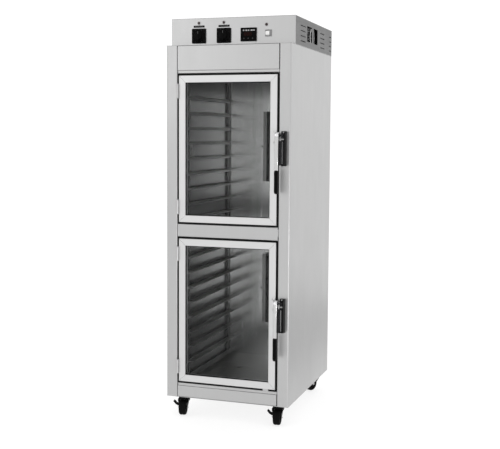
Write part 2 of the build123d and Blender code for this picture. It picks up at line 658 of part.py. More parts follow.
def latch_housing(top, label):
    """Base plate and bearing block of the latch on the door's right member."""
    pivot_z = top - SPINDLE_DROP
    with BuildPart() as housing:
        block((228, DOOR_HALF_W), (DOOR_FACE - 3, DOOR_FACE), (top - 62, top + 2))
        fillet(housing.edges().filter_by(Axis.Y), 4)
        block(BEARING_X, (SPINDLE_Y - 11, DOOR_FACE - 3), (pivot_z - 14, pivot_z + 14))
        bore_spot = (sum(BEARING_X) / 2, SPINDLE_Y, pivot_z)
        rod(bore_spot, SPINDLE_R + RUN_FIT, 30, "X", mode=Mode.SUBTRACT)
        for screw_z in (top - 6, top - 54):
            rod((236, DOOR_FACE - 4, screw_z), 3.5, 2, "Y")
    save(housing, label)


def latch_lever(top, label):
    """Lever, hub and spindle in one casting, with a finger that holds the strike."""
    pivot_z = top - SPINDLE_DROP
    middle_x = sum(LEVER_X) / 2
    back_y = FRONT - 46.0
    front_y = FRONT - 56.0
    knee_z = top - 70
    with BuildPart() as lever:
        with BuildSketch(Plane.YZ.offset(LEVER_X[0])):
            with BuildLine():
                Polyline(
                    (SPINDLE_Y - HUB_REACH, pivot_z),
                    (front_y, knee_z),
                    (front_y, top - LEVER_LEN),
                    (back_y, top - LEVER_LEN),
                    (back_y, knee_z),
                    (SPINDLE_Y + HUB_REACH, pivot_z),
                    close=True,
                )
            make_face()
            with Locations((SPINDLE_Y, pivot_z)):
                Circle(HUB_REACH)
        extrude(amount=LEVER_W)
        spindle_mid = (BEARING_X[0] + FINGER_X[1]) / 2
        spindle_len = FINGER_X[1] - BEARING_X[0]
        rod((spindle_mid, SPINDLE_Y, pivot_z), SPINDLE_R, spindle_len, "X")
        block(FINGER_X, (SPINDLE_Y, SPINDLE_Y + 12), (pivot_z - 3, pivot_z + 3))
        tang_z = (top - LEVER_LEN - TANG_LEN, top - LEVER_LEN)
        block((middle_x - 4, middle_x + 4), TANG_Y, tang_z)
    save(lever, label)


def latch_grip(top, label):
    """Moulded grip, rounded at its lower end, pushed over the lever's tang."""
    middle_x = sum(LEVER_X) / 2
    grip_top = top - LEVER_LEN
    with BuildPart() as grip:
        block(LEVER_X, (FRONT - FRONT_PROUD, FRONT - 40), (grip_top - GRIP_LEN, grip_top))
        fillet(grip.edges().group_by(Axis.Z)[0].filter_by(Axis.Y), 8)
        fillet(grip.edges().filter_by(Axis.Z), 4)
        tang_z = (grip_top - TANG_LEN, grip_top + 1)
        block((middle_x - 4, middle_x + 4), TANG_Y, tang_z, mode=Mode.SUBTRACT)
    save(grip, label)


door_middles = {
    "lower": LOWER_OPEN_Z + OPEN_H / 2,
    "upper": UPPER_OPEN_Z + OPEN_H / 2,
}
hinge_offset = DOOR_H / 2 - HINGE_INSET
for door, middle in door_middles.items():
    levels = (middle - hinge_offset, middle + hinge_offset)
    door_frame(middle, f"{door}_door_frame")
    door_glass(middle, f"{door}_door_glass")
    door_gasket(middle, levels, f"{door}_door_gasket")
    door_hinge_leaves(levels, f"{door}_door_hinge_leaves")
    latch_housing(middle + HANDLE_RISE, f"{door}_latch_housing")
    latch_lever(middle + HANDLE_RISE, f"{door}_latch_lever")
    latch_grip(middle + HANDLE_RISE, f"{door}_latch_grip")

# Hinge halves and pins on the left jamb, two for each door.
jamb_leaf_x = (-OPEN_X, -OPEN_X + LEAF_T)
with BuildPart() as cabinet_hinge_leaves:
    for middle in door_middles.values():
        for level in (middle - hinge_offset, middle + hinge_offset):
            lower_mid = level - HINGE_HALF / 2
            knuckle_spot = (PIVOT_X, PIVOT_Y, lower_mid - KNUCKLE_GAP / 2)
            rod(knuckle_spot, KNUCKLE_R, HINGE_HALF - KNUCKLE_GAP)
            rod((PIVOT_X, PIVOT_Y, level), PIN_R, 2 * HINGE_HALF - 4)
            block(jamb_leaf_x, (PIVOT_Y, LEAF_BACK), (level - HINGE_HALF, level - KNUCKLE_GAP))
            block(jamb_leaf_x, (FRONT - 1, LEAF_BACK), (level - KNUCKLE_GAP, level + HINGE_HALF))
save(cabinet_hinge_leaves, "cabinet_hinge_leaves")

# Strikes on the right stile: a base plate, a lower block, a cheek and the roller pin,
# open to the front and left so that a door pulls free. The four pieces of a strike
# stand a hair apart.
STRIKE_BASE = 10.0
CHEEK_T = 4.0
POCKET_H = 46.0
HAIR = 0.1
with BuildPart() as latch_strikes:
    for middle in door_middles.values():
        top = middle + HANDLE_RISE
        body_y = (FRONT - STRIKE_D, FRONT - STRIKE_BASE - HAIR)
        cheek_x = (STRIKE_X[1] - CHEEK_T, STRIKE_X[1])
        block(STRIKE_X, (FRONT - STRIKE_BASE, FRONT), (top - STRIKE_H, top))
        block(STRIKE_X, body_y, (top - STRIKE_H, top - POCKET_H))
        block(cheek_x, body_y, (top - POCKET_H + HAIR, top))
        pin_x = (STRIKE_X[0] + 3, cheek_x[0] - HAIR)
        pin_spot = (sum(pin_x) / 2, FRONT - 20, top - POCKET_H + 6)
        rod(pin_spot, 5, pin_x[1] - pin_x[0], "X")
save(latch_strikes, "latch_strikes")

# ---- casters ------------------------------------------------------------------------
# The front pair has side brakes: a lever on a pin across the fork's left leg, with its
# toe up and out when free, pushed down to lock the wheel.
WHEEL_W = 34.0
AXLE_R = 4.0
KINGPIN_R = 6.0
TRAIL = 18.0
LEG_T = 3.0
LEG_GAP = 17.5            # from the wheel's middle plane to the inside of a leg
LEG_FACE = LEG_GAP + LEG_T
SHOULDER_REACH = 27.0     # half width of the fork's shoulders
SHOULDER_Z = 57.0
SHOULDER_U = (-20.0, 24.0)
CROWN_Z = 78.0
RACE_Z = 87.0
RACE_R = 27.0
PLATE_Z = 98.0
PLATE_SIZE = (64.0, 80.0)
BOLT_PITCH = (48.0, 62.0)
BRAKE_Z = 50.0
BRAKE_U = -6.0            # middle of the lever along the fork
BRAKE_W = 18.0
BRAKE_OUT = LEG_FACE + 6.0
BRAKE_PIN_R = 2.5
BRAKE_REACH = 24.0
BRAKE_RISE = 18.0
EAR_T = 3.5
CASTERS = {
    "front_left": (-CASTER_X, FRONT + CASTER_FRONT, 170.0),
    "front_right": (CASTER_X, FRONT + CASTER_FRONT, 174.0),
    "rear_left": (-CASTER_X, FRONT + CASTER_REAR, 150.0),
    "rear_right": (CASTER_X, FRONT + CASTER_REAR, 205.0),
}


def lead_direction(turn):
    """Direction that a caster's kingpin leads in, turned from -Y towards -X."""
    return Vector(-sin(radians(turn)), -cos(radians(turn)), 0)


def caster_planes(x, y, turn):
    """Upright plane through the wheel, level plane and plane square to the fork."""
    forward = lead_direction(turn)
    axle_dir = forward.cross(Vector(0, 0, 1))
    upright = Plane((x, y, 0), x_dir=forward, z_dir=axle_dir)
    level = Plane((x, y, 0), x_dir=forward, z_dir=(0, 0, 1))
    across = Plane((x, y, 0), x_dir=axle_dir, z_dir=-forward)
    return upright, level, across


def caster_fork(planes, braked, label):
    """Swivel fork: race, crown, two legs, the wheel's axle and the brake's ears."""
    upright, level, across = planes
    with BuildPart() as fork:
        with BuildSketch(level.offset(RACE_Z)):
            Circle(RACE_R)
        extrude(amount=PLATE_Z - RACE_Z - 0.4)
        with BuildSketch(level.offset(CROWN_Z)):
            with Locations((2, 0)):
                Rectangle(56, 2 * LEG_FACE)
        extrude(amount=RACE_Z - CROWN_Z)
        for side in (-1, 1):
            with BuildSketch(across.offset(-SHOULDER_U[1])):
                with BuildLine():
                    Polyline(
                        (side * (LEG_FACE - 1), SHOULDER_Z),
                        (side * LEG_FACE, SHOULDER_Z),
                        (side * SHOULDER_REACH, SHOULDER_Z + 11),
                        (side * SHOULDER_REACH, CROWN_Z + 2),
                        (side * (LEG_FACE - 1), CROWN_Z + 2),
                        close=True,
                    )
                make_face()
            extrude(amount=SHOULDER_U[1] - SHOULDER_U[0])
        for start in (LEG_GAP, -LEG_FACE):
            with BuildSketch(upright.offset(start)):
                with BuildLine():
                    Polyline(
                        (-26, CROWN_Z + 2),
                        (30, CROWN_Z + 2),
                        (32, CROWN_Z - 16),
                        (-TRAIL + 14, WHEEL_R - 6),
                        (-TRAIL - 12, WHEEL_R - 6),
                        close=True,
                    )
                make_face()
                with Locations((-TRAIL, WHEEL_R)):
                    Circle(13)
                    Circle(AXLE_R, mode=Mode.SUBTRACT)
            extrude(amount=LEG_T)
        with BuildSketch(level.offset(RACE_Z - 12)):
            Circle(KINGPIN_R + RUN_FIT)
        extrude(amount=PLATE_Z - RACE_Z + 12, mode=Mode.SUBTRACT)
        with BuildSketch(upright.offset(-LEG_FACE - 2)):
            with Locations((-TRAIL, WHEEL_R)):
                Circle(AXLE_R)
        extrude(amount=2 * (LEG_FACE + 2))
        if braked:
            ear_starts = (BRAKE_U - BRAKE_W / 2 - EAR_T - 0.3, BRAKE_U + BRAKE_W / 2 + 0.3)
            for ear_u in ear_starts:
                with BuildSketch(across.offset(-ear_u)):
                    with Locations((-(LEG_FACE + BRAKE_OUT) / 2, BRAKE_Z)):
                        Rectangle(BRAKE_OUT - LEG_FACE + 0.2, 10)
                    with Locations((-BRAKE_OUT, BRAKE_Z)):
                        Circle(5)
                extrude(amount=-EAR_T)
            with BuildSketch(across.offset(-ear_starts[0])):
                with Locations((-BRAKE_OUT, BRAKE_Z)):
                    Circle(BRAKE_PIN_R)
            extrude(amount=-(BRAKE_W + 2 * EAR_T + 0.6))
    save(fork, label)


def caster_wheel(upright, label):
    """Wheel with a rounded tread, bored for its axle."""
    with BuildPart() as wheel:
        with BuildSketch(upright.offset(-WHEEL_W / 2)):
            with Locations((-TRAIL, WHEEL_R)):
                Circle(WHEEL_R)
                Circle(AXLE_R + RUN_FIT, mode=Mode.SUBTRACT)
        extrude(amount=WHEEL_W)
        fillet(wheel.edges().group_by(SortBy.LENGTH)[-1], 7)
    save(wheel, label)


def brake_lever(across, label):
    """Side brake lever: a hub on the fork's pin and an arm up and out to the toe."""
    toe_out = BRAKE_OUT + BRAKE_REACH
    toe_z = BRAKE_Z + BRAKE_RISE
    with BuildPart() as lever:
        with BuildSketch(across.offset(-BRAKE_U - BRAKE_W / 2)):
            with BuildLine():
                Polyline(
                    (-BRAKE_OUT, BRAKE_Z + 4.5),
                    (-BRAKE_OUT - 9, BRAKE_Z + 7),
                    (-toe_out, toe_z),
                    (-toe_out - 1, toe_z - 4),
                    (-BRAKE_OUT - 12, BRAKE_Z - 1),
                    (-BRAKE_OUT, BRAKE_Z - 4.5),
                    close=True,
                )
            make_face()
            with Locations((-BRAKE_OUT, BRAKE_Z)):
                Circle(4.8)
                Circle(BRAKE_PIN_R + RUN_FIT, mode=Mode.SUBTRACT)
        extrude(amount=BRAKE_W)
    save(lever, label)


with BuildPart() as caster_plates:
    for x, y, turn in CASTERS.values():
        plate_x = (x - PLATE_SIZE[0] / 2, x + PLATE_SIZE[0] / 2)
        plate_y = (y - PLATE_SIZE[1] / 2, y + PLATE_SIZE[1] / 2)
        block(plate_x, plate_y, (PLATE_Z, BODY_Z0))
        rod((x, y, (PLATE_Z + RACE_Z - 6) / 2), KINGPIN_R, PLATE_Z - RACE_Z + 6)
        for side in (-1, 1):
            for end in (-1, 1):
                bolt_x = x + side * BOLT_PITCH[0] / 2
                bolt_y = y + end * BOLT_PITCH[1] / 2
                rod((bolt_x, bolt_y, PLATE_Z - 2), 5, 4)
save(caster_plates, "caster_plates")

for corner, (x, y, turn) in CASTERS.items():
    planes = caster_planes(x, y, turn)
    braked = corner.startswith("front")
    caster_fork(planes, braked, f"{corner}_caster_fork")
    caster_wheel(planes[0], f"{corner}_caster_wheel")
    if braked:
        brake_lever(planes[2], f"{corner}_brake_lever")
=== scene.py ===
"""Looks of the proofing cabinet: materials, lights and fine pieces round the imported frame."""

import json
import math

import bmesh
import bpy
from mathutils import Matrix, Vector


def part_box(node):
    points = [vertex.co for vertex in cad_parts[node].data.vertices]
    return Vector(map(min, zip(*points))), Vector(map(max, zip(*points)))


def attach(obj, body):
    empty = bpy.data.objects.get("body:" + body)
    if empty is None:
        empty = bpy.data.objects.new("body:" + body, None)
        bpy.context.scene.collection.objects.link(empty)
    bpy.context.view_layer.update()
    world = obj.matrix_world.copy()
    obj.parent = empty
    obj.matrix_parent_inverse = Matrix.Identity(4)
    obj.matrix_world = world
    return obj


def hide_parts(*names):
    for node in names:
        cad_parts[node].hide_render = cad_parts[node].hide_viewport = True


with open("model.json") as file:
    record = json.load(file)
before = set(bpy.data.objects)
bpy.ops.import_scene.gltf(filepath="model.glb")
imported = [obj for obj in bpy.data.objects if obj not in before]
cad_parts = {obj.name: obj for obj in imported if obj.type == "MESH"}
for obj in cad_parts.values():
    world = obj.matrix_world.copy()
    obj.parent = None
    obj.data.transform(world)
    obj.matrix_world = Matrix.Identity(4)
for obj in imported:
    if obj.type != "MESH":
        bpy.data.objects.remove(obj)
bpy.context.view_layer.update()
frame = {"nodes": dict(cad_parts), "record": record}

MM = 0.001
nodes = frame["nodes"]
ROOT = "cabinet"
DOORS = ("lower", "upper")
FRONT_CASTERS = ("front_left", "front_right")
CASTERS = FRONT_CASTERS + ("rear_left", "rear_right")


# ---- camera -------------------------------------------------------------------------
CAMERA_PLACE = (1.541, -4.581, 1.411)
CAMERA_YAW = 18.525       # degrees left of straight into the doors
CAMERA_PITCH = -4.651
CAMERA_ROLL = 0.373


def make_camera():
    """A long lens in front of the cabinet, a little to its right, at about chest height."""
    data = bpy.data.cameras.new("camera")
    data.sensor_width = 36.0
    data.lens = 66.94
    data.shift_x = -0.0045
    data.shift_y = -0.028
    data.clip_start = 0.1
    data.clip_end = 60.0
    camera = bpy.data.objects.new("camera", data)
    bpy.context.scene.collection.objects.link(camera)
    yaw, pitch, roll = (math.radians(angle) for angle in (CAMERA_YAW, CAMERA_PITCH, CAMERA_ROLL))
    flat = math.cos(pitch)
    forward = Vector((-math.sin(yaw) * flat, math.cos(yaw) * flat, math.sin(pitch)))
    level = Vector((math.cos(yaw), math.sin(yaw), 0.0))
    above = level.cross(forward)
    right = math.cos(roll) * level + math.sin(roll) * above
    up = -math.sin(roll) * level + math.cos(roll) * above
    turn = Matrix((right, up, -forward)).transposed().to_4x4()
    camera.matrix_world = Matrix.Translation(Vector(CAMERA_PLACE)) @ turn
    bpy.context.scene.camera = camera


make_camera()


# ---- materials ----------------------------------------------------------------------
class Shade:
    """A material under construction: its node tree, with short names for what repeats."""

    def __init__(self, name):
        self.material = bpy.data.materials.new(name)
        self.material.use_nodes = True
        self.tree = self.material.node_tree
        self.bsdf = self.tree.nodes["Principled BSDF"]
        self.output = self.tree.nodes["Material Output"]
        self.coords = self.tree.nodes.new("ShaderNodeTexCoord").outputs["Object"]

    def set(self, **values):
        for key, value in values.items():
            self.bsdf.inputs[key.replace("_", " ")].default_value = value
        return self

    def noise(self, scale, detail=4.0, roughness=0.6):
        """Noise over the object, with its own scale along X, Y and Z, per metre."""
        mapping = self.tree.nodes.new("ShaderNodeMapping")
        mapping.inputs["Scale"].default_value = scale
        self.tree.links.new(self.coords, mapping.inputs["Vector"])
        texture = self.tree.nodes.new("ShaderNodeTexNoise")
        texture.inputs["Scale"].default_value = 1.0
        texture.inputs["Detail"].default_value = detail
        texture.inputs["Roughness"].default_value = roughness
        self.tree.links.new(mapping.outputs["Vector"], texture.inputs["Vector"])
        return texture.outputs["Fac"]

    def ranged(self, value, low, high, start=0.3, end=0.7):
        """value, with start to end spread over low to high."""
        node = self.tree.nodes.new("ShaderNodeMapRange")
        node.inputs["From Min"].default_value = start
        node.inputs["From Max"].default_value = end
        node.inputs["To Min"].default_value = low
        node.inputs["To Max"].default_value = high
        self.tree.links.new(value, node.inputs["Value"])
        return node.outputs["Result"]

    def math(self, operation, a, b):
        node = self.tree.nodes.new("ShaderNodeMath")
        node.operation = operation
        for socket, value in zip(node.inputs, (a, b)):
            if isinstance(value, (int, float)):
                socket.default_value = value
            else:
                self.tree.links.new(value, socket)
        return node.outputs["Value"]

    def sideways(self):
        """Distance from the object's middle plane."""
        split = self.tree.nodes.new("ShaderNodeSeparateXYZ")
        self.tree.links.new(self.coords, split.inputs[0])
        return self.math("ABSOLUTE", split.outputs["X"], 0.0)

    def blend(self, factor, colour_a, colour_b):
        node = self.tree.nodes.new("ShaderNodeMix")
        node.data_type = "RGBA"
        for socket, colour in ((node.inputs["A"], colour_a), (node.inputs["B"], colour_b)):
            if isinstance(colour, tuple):
                socket.default_value = (*colour, 1)
            else:
                self.tree.links.new(colour, socket)
        self.tree.links.new(factor, node.inputs["Factor"])
        return node.outputs["Result"]

    def bump(self, height, strength, distance):
        node = self.tree.nodes.new("ShaderNodeBump")
        node.inputs["Strength"].default_value = strength
        node.inputs["Distance"].default_value = distance
        self.tree.links.new(height, node.inputs["Height"])
        self.tree.links.new(node.outputs["Normal"], self.bsdf.inputs["Normal"])

    def link(self, value, name):
        self.tree.links.new(value, self.bsdf.inputs[name])


def tint(colour, factor):
    return tuple(min(1.0, c * factor) for c in colour)


def grey(level):
    return (level, level, level)


def brushed(name, colour, roughness, along="Z", anisotropy=0.4, bump=0.25, contrast=0.06, side_wall_shade=None):
    """Brushed sheet: streaks along one axis in colour, roughness and height, and faint smears.

    The side-wall colour, if given, darkens each side wall of the chamber as painted shade, for the shade
    it lies in.
    """
    fine, long = 700.0, 5.0
    scale = [fine] * 3
    scale["XYZ".index(along)] = long
    shade = Shade(name).set(Metallic=1.0, Anisotropic=anisotropy)
    grain = shade.noise(scale, detail=3.0)
    broad_scale = [40.0] * 3
    broad_scale["XYZ".index(along)] = 1.2
    bands = shade.noise(broad_scale, detail=2.0)
    smears = shade.noise((5.0, 5.0, 3.0), detail=5.0)
    share = 0.6
    mixed = shade.math(
        "ADD", shade.math("MULTIPLY", grain, share), shade.math("MULTIPLY", bands, 1 - share)
    )
    sheet = shade.blend(mixed, tint(colour, 1 - contrast), tint(colour, 1 + contrast))
    if side_wall_shade:
        # Painted shade: past the corner bends, each side wall takes the darker side-wall colour.
        duller = shade.blend(mixed, tint(side_wall_shade, 1 - contrast), tint(side_wall_shade, 1 + contrast))
        corner, wall = 0.252, 0.2615
        sheet = shade.blend(shade.ranged(shade.sideways(), 0.0, 1.0, corner, wall), sheet, duller)
    shade.link(sheet, "Base Color")
    streaky = shade.ranged(mixed, roughness - 0.06, roughness + 0.06)
    smeared = shade.ranged(smears, -0.03, 0.05)
    shade.link(shade.math("ADD", streaky, smeared), "Roughness")
    shade.bump(grain, bump, 0.00005)
    return shade.material


def moulded(name, colour, roughness, grain=1500.0, bump=0.2, shine=0.03):
    """Moulded plastic or rubber with a fine texture and rubbed patches."""
    shade = Shade(name).set(Metallic=0.0, Specular_IOR_Level=shine)
    texture = shade.noise((grain,) * 3, detail=2.0)
    rubbed = shade.noise((30.0,) * 3, detail=4.0)
    shade.link(shade.blend(rubbed, tint(colour, 0.8), tint(colour, 1.25)), "Base Color")
    shade.link(shade.ranged(rubbed, roughness - 0.08, roughness + 0.08), "Roughness")
    shade.bump(texture, bump, 0.0001)
    return shade.material


def painted(name, colour, roughness):
    """Coat of paint on metal, slightly uneven, with small dull chips."""
    shade = Shade(name).set(Metallic=0.0, Specular_IOR_Level=0.04)
    peel = shade.noise((400.0,) * 3, detail=2.0)
    wear = shade.noise((120.0,) * 3, detail=6.0)
    chips = shade.ranged(wear, 0.0, 1.0, 0.68, 0.74)
    shade.link(shade.blend(chips, colour, grey(0.2)), "Base Color")
    shade.link(shade.ranged(wear, roughness - 0.05, roughness + 0.1), "Roughness")
    shade.bump(peel, 0.15, 0.0001)
    return shade.material


def plated(name, colour, roughness):
    """Smooth plate with fine wipe marks."""
    shade = Shade(name).set(Metallic=1.0)
    shade.set(Base_Color=(*colour, 1))
    wipes = shade.noise((90.0, 90.0, 500.0), detail=5.0)
    shade.link(shade.ranged(wipes, roughness, roughness + 0.1, 0.45, 0.75), "Roughness")
    shade.bump(wipes, 0.03, 0.0001)
    return shade.material


def glazed(name, colour, roughness):
    """Flat pane that bends light for the eye and lets lamplight through."""
    shade = Shade(name).set(Transmission_Weight=1.0, IOR=1.2)
    shade.set(Base_Color=(*colour, 1))
    dust = shade.noise((25.0, 25.0, 12.0), detail=6.0)
    shade.link(shade.ranged(dust, roughness, roughness + 0.04, 0.5, 0.8), "Roughness")
    path = shade.tree.nodes.new("ShaderNodeLightPath")
    clear = shade.tree.nodes.new("ShaderNodeBsdfTransparent")
    clear.inputs["Color"].default_value = (*tint(colour, 0.97), 1)
    mix = shade.tree.nodes.new("ShaderNodeMixShader")
    shade.tree.links.new(path.outputs["Is Shadow Ray"], mix.inputs[0])
    shade.tree.links.new(shade.bsdf.outputs[0], mix.inputs[1])
    shade.tree.links.new(clear.outputs[0], mix.inputs[2])
    shade.tree.links.new(mix.outputs[0], shade.output.inputs["Surface"])
    return shade.material


def wool(name, colour):
    """Loose glass wool."""
    shade = Shade(name).set(Roughness=0.95, Sheen_Weight=0.3)
    fibres = shade.noise((300.0, 300.0, 60.0), detail=8.0)
    shade.link(shade.blend(fibres, tint(colour, 0.7), tint(colour, 1.2)), "Base Color")
    shade.bump(fibres, 0.8, 0.002)
    return shade.material


# Finish, colour, roughness and other settings of each material.
FINISHES = {
    "outer_steel": (brushed, grey(0.475), 0.36, {}),
    # The liner's side-wall colour 0.19 is painted shade on the chamber's side panels.
    "liner_steel": (brushed, grey(0.84), 0.2,
                    {"anisotropy": 0.6, "bump": 0.05, "contrast": 0.04, "side_wall_shade": grey(0.19)}),
    "floor_steel": (brushed, grey(0.3), 0.3, {"along": "X", "contrast": 0.15}),
    "post_steel": (brushed, grey(0.12), 0.3, {}),
    "rack_steel": (brushed, grey(0.24), 0.38, {"along": "Y"}),
    "door_aluminium": (brushed, grey(0.63), 0.45, {"anisotropy": 0.2, "bump": 0.1}),
    "fan_aluminium": (brushed, grey(0.7), 0.4, {"along": "X"}),
    "screw_steel": (brushed, grey(0.5), 0.35, {"along": "X"}),
    "box_steel": (brushed, grey(0.16), 0.4, {"along": "Y"}),
    "guard_grey": (brushed, grey(0.36), 0.4, {}),
    "chrome": (plated, (0.78, 0.78, 0.79), 0.06, {}),
    # lever_steel is painted shade: the levers are chrome like the hubs, coloured darker so that their
    # reflection of the bright front reads dimmer.
    "lever_steel": (plated, grey(0.56), 0.16, {}),
    # strike_metal's near-black is painted dark reflection: the strikes are chrome, coloured near-black
    # to read as mirroring dark surroundings; the latch spindles share it.
    "strike_metal": (plated, (0.024, 0.024, 0.026), 0.18, {}),
    # guard_black is painted shade: the right half of each probe guard, which lies in shade, is coloured
    # near-black.
    "guard_black": (painted, grey(0.035), 0.4, {}),
    "motor_paint": (painted, (0.04, 0.04, 0.042), 0.4, {}),
    "caster_black": (painted, grey(0.002), 0.42, {}),
    "print_grey": (moulded, grey(0.13), 0.5, {"bump": 0.0}),
    "scale_grey": (moulded, grey(0.05), 0.5, {"bump": 0.0}),
    "display_mark": (moulded, grey(0.4), 0.4, {"bump": 0.0}),
    "display_lens": (moulded, grey(0.003), 0.12, {"bump": 0.0}),
    "display_digit": (moulded, (0.03, 0.008, 0.006), 0.3, {"bump": 0.0}),
    "switch_plastic": (moulded, grey(0.24), 0.4, {}),
    "rocker_plastic": (moulded, (0.85, 0.85, 0.83), 0.25, {"bump": 0.05, "shine": 0.5}),
    "pilot_lens": (moulded, (0.02, 0.006, 0.005), 0.12, {"bump": 0.0, "shine": 0.5}),
    "black_plastic": (moulded, grey(0.004), 0.42, {}),
    "dial_plastic": (moulded, grey(0.002), 0.25, {"shine": 0.04}),
    "grip_plastic": (moulded, grey(0.003), 0.38, {}),
    "gasket_rubber": (moulded, grey(0.008), 0.6, {}),
    "wheel_rubber": (moulded, grey(0.005), 0.62, {}),
    "seam_shadow": (moulded, grey(0.05), 0.8, {"bump": 0.0}),
    "door_glass": (glazed, (0.93, 0.94, 0.935), 0.0, {}),
}
materials = {
    name: finish(name, colour, roughness, **settings)
    for name, (finish, colour, roughness, settings) in FINISHES.items()
}
materials["insulation"] = wool("insulation", (0.7, 0.62, 0.3))

# Nodes whose finish differs from the slot they share with others.
OWN_FINISHES = {
    "control_box_sides": "box_steel",
    "power_switch_housing": "switch_plastic",
    "rack_posts": "post_steel",
    "liner_ends": "floor_steel",
}


def dress_nodes():
    """Each CAD node gets the finish of its slot, or its own."""
    for part in frame["record"]["subparts"]:
        obj = nodes[part["node"]]
        obj.data.materials.clear()
        finish = OWN_FINISHES.get(part["node"], part["material_slot"])
        obj.data.materials.append(materials[finish])


dress_nodes()


class Form:
    """A mesh under construction, in millimetres of the row frame."""

    def __init__(self):
        self.mesh = bmesh.new()

    def ring(self, points):
        return [self.mesh.verts.new(point) for point in points]

    def skin(self, rings, cap=True, closed=False):
        """Faces between rings of equal length; the ends are capped, or joined to each other."""
        pairs = list(zip(rings, rings[1:]))
        if closed:
            pairs.append((rings[-1], rings[0]))
        for near, far in pairs:
            for i in range(len(near)):
                j = (i + 1) % len(near)
                self.mesh.faces.new((near[i], near[j], far[j], far[i]))
        if cap and not closed:
            self.mesh.faces.new(list(reversed(rings[0])))
            self.mesh.faces.new(rings[-1])

    def prism(self, outline, axis, start, end):
        """Outline of (u, v) points run along an axis; u and v are the other two axes in order."""
        self.skin([
            self.ring([on_axis(axis, along, u, v) for u, v in outline]) for along in (start, end)
        ])

    def lathe(self, profile, centre, axis, sides=40, closed=False, flutes=0, depth=0.0):
        """Profile of (along, radius) points turned about an axis, with optional flutes."""
        rings = []
        for along, radius in profile:
            points = []
            for i in range(sides):
                angle = 2 * math.pi * i / sides
                r = radius - depth * (0.5 + 0.5 * math.cos(flutes * angle)) if flutes else radius
                point = on_axis(axis, along, r * math.cos(angle), r * math.sin(angle))
                points.append(Vector(point) + Vector(centre))
            rings.append(self.ring(points))
        self.skin(rings, closed=closed)

    def piece(self, name, slot, body, bevel=0.0, smooth=35.0, replaces=(), place=None):
        """Turns the form into a finished piece that rides on a body."""
        bmesh.ops.recalc_face_normals(self.mesh, faces=self.mesh.faces)
        bmesh.ops.scale(self.mesh, vec=(MM,) * 3, verts=self.mesh.verts)
        if place is not None:
            bmesh.ops.transform(self.mesh, matrix=place, verts=self.mesh.verts)
        data = bpy.data.meshes.new(name)
        self.mesh.to_mesh(data)
        self.mesh.free()
        data.materials.append(materials[slot])
        data.shade_smooth()
        data.set_sharp_from_angle(angle=math.radians(smooth))
        obj = bpy.data.objects.new(name, data)
        bpy.context.scene.collection.objects.link(obj)
        if bevel:
            add_bevel(obj, bevel)
        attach(obj, body)
        if replaces:
            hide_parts(*replaces)
        return obj


def on_axis(axis, along, u, v):
    return {"X": (along, u, v), "Y": (u, along, v), "Z": (u, v, along)}[axis]


def add_bevel(obj, width, segments=2):
    """Rounds an object's sharp edges, width in millimetres."""
    bevel = obj.modifiers.new("edges", "BEVEL")
    bevel.width = width * MM
    bevel.segments = segments
    bevel.limit_method = "ANGLE"
    bevel.angle_limit = math.radians(40)
    bevel.harden_normals = False


def node_box(node):
    """Lowest and highest corner of a CAD node, in millimetres."""
    low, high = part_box(node)
    return Vector(low) / MM, Vector(high) / MM


def joint_place(name):
    """Point in millimetres and unit axis of a joint."""
    joint = next(j for j in frame["record"]["behaviour"]["joints"] if j["name"] == name)
    return Vector(joint["pos_m"]) / MM, Vector(joint["axis"]).normalized()


def arc(cx, cy, radius, start, end, steps=8):
    """Points of an arc between two angles in degrees."""
    return [
        (cx + radius * math.cos(math.radians(a)), cy + radius * math.sin(math.radians(a)))
        for a in (start + (end - start) * i / steps for i in range(steps + 1))
    ]


def rounded(x, z, radius, steps=5):
    """Rectangle between two bounds on each axis, with round corners."""
    return (
        arc(x[1] - radius, z[0] + radius, radius, -90, 0, steps)
        + arc(x[1] - radius, z[1] - radius, radius, 0, 90, steps)
        + arc(x[0] + radius, z[1] - radius, radius, 90, 180, steps)
        + arc(x[0] + radius, z[0] + radius, radius, 180, 270, steps)
    )


def screw_profile(size, out, shape):
    """Profile of (along, radius) from shares of a screw's size."""
    return [(out * size * along, size * radius) for along, radius in shape]


def hex_screw(form, centre, axis, size, out):
    """Washer-head hexagon screw; out is the sign of the side its head faces."""
    flange = ((0, 1), (0.18, 1), (0.3, 0.8), (0.3, 0.1))
    form.lathe(screw_profile(size, out, flange), centre, axis, sides=24)
    head = ((0.3, 0.62), (0.62, 0.62), (0.72, 0.5))
    form.lathe(screw_profile(size, out, head), centre, axis, sides=6)


def socket_screw(form, centre, axis, size, out):
    """Low domed screw with a hollow in its head."""
    dome = ((0, 1), (0.25, 0.95), (0.5, 0.65), (0.52, 0.45), (0.15, 0.42))
    form.lathe(screw_profile(size, out, dome), centre, axis, sides=24)


# ---- controls -----------------------------------------------------------------------
SCALE_MARKS = 11
SCALE_SWEEP = 300.0       # degrees from the first mark to the last
SCALE_R = (31.0, 34.0)
KNOB_SKIRT = ((0, 10), (0, 28.8), (-3, 28.8), (-4.5, 27), (-5, 24.5), (-5, 5))
KNOB_CAP = ((-5, 22), (-5.6, 22), (-11, 20), (-12.6, 18.5), (-13, 16), (-13, 3))
PLATE_MARKS = 7
DISPLAY_MARK_WIDTHS = (7, 9, 6, 10, 7)
DIGIT_PITCH = 13.5
# Offset of each bar's middle and half its size, for the seven bars of a digit.
SEGMENTS = ((0, 7, 4, 0.8), (0, 0, 4, 0.8), (0, -7, 4, 0.8), (-4, 3.5, 0.8, 2.9), (4, 3.5, 0.8, 2.9),
            (-4, -3.5, 0.8, 2.9), (4, -3.5, 0.8, 2.9))
PILOT_CENTRES = ((-173.0, 1953.0), (-43.6, 1953.0), (173.6, 1937.0))
PILOT_RING = ((0.3, 9.2), (-1.2, 9.2), (-2.0, 8.2), (-2.0, 7.1), (0.3, 7.1))


def shifted(profile, offset):
    """Profile of (along, radius) moved along its axis."""
    return [(offset + along, radius) for along, radius in profile]


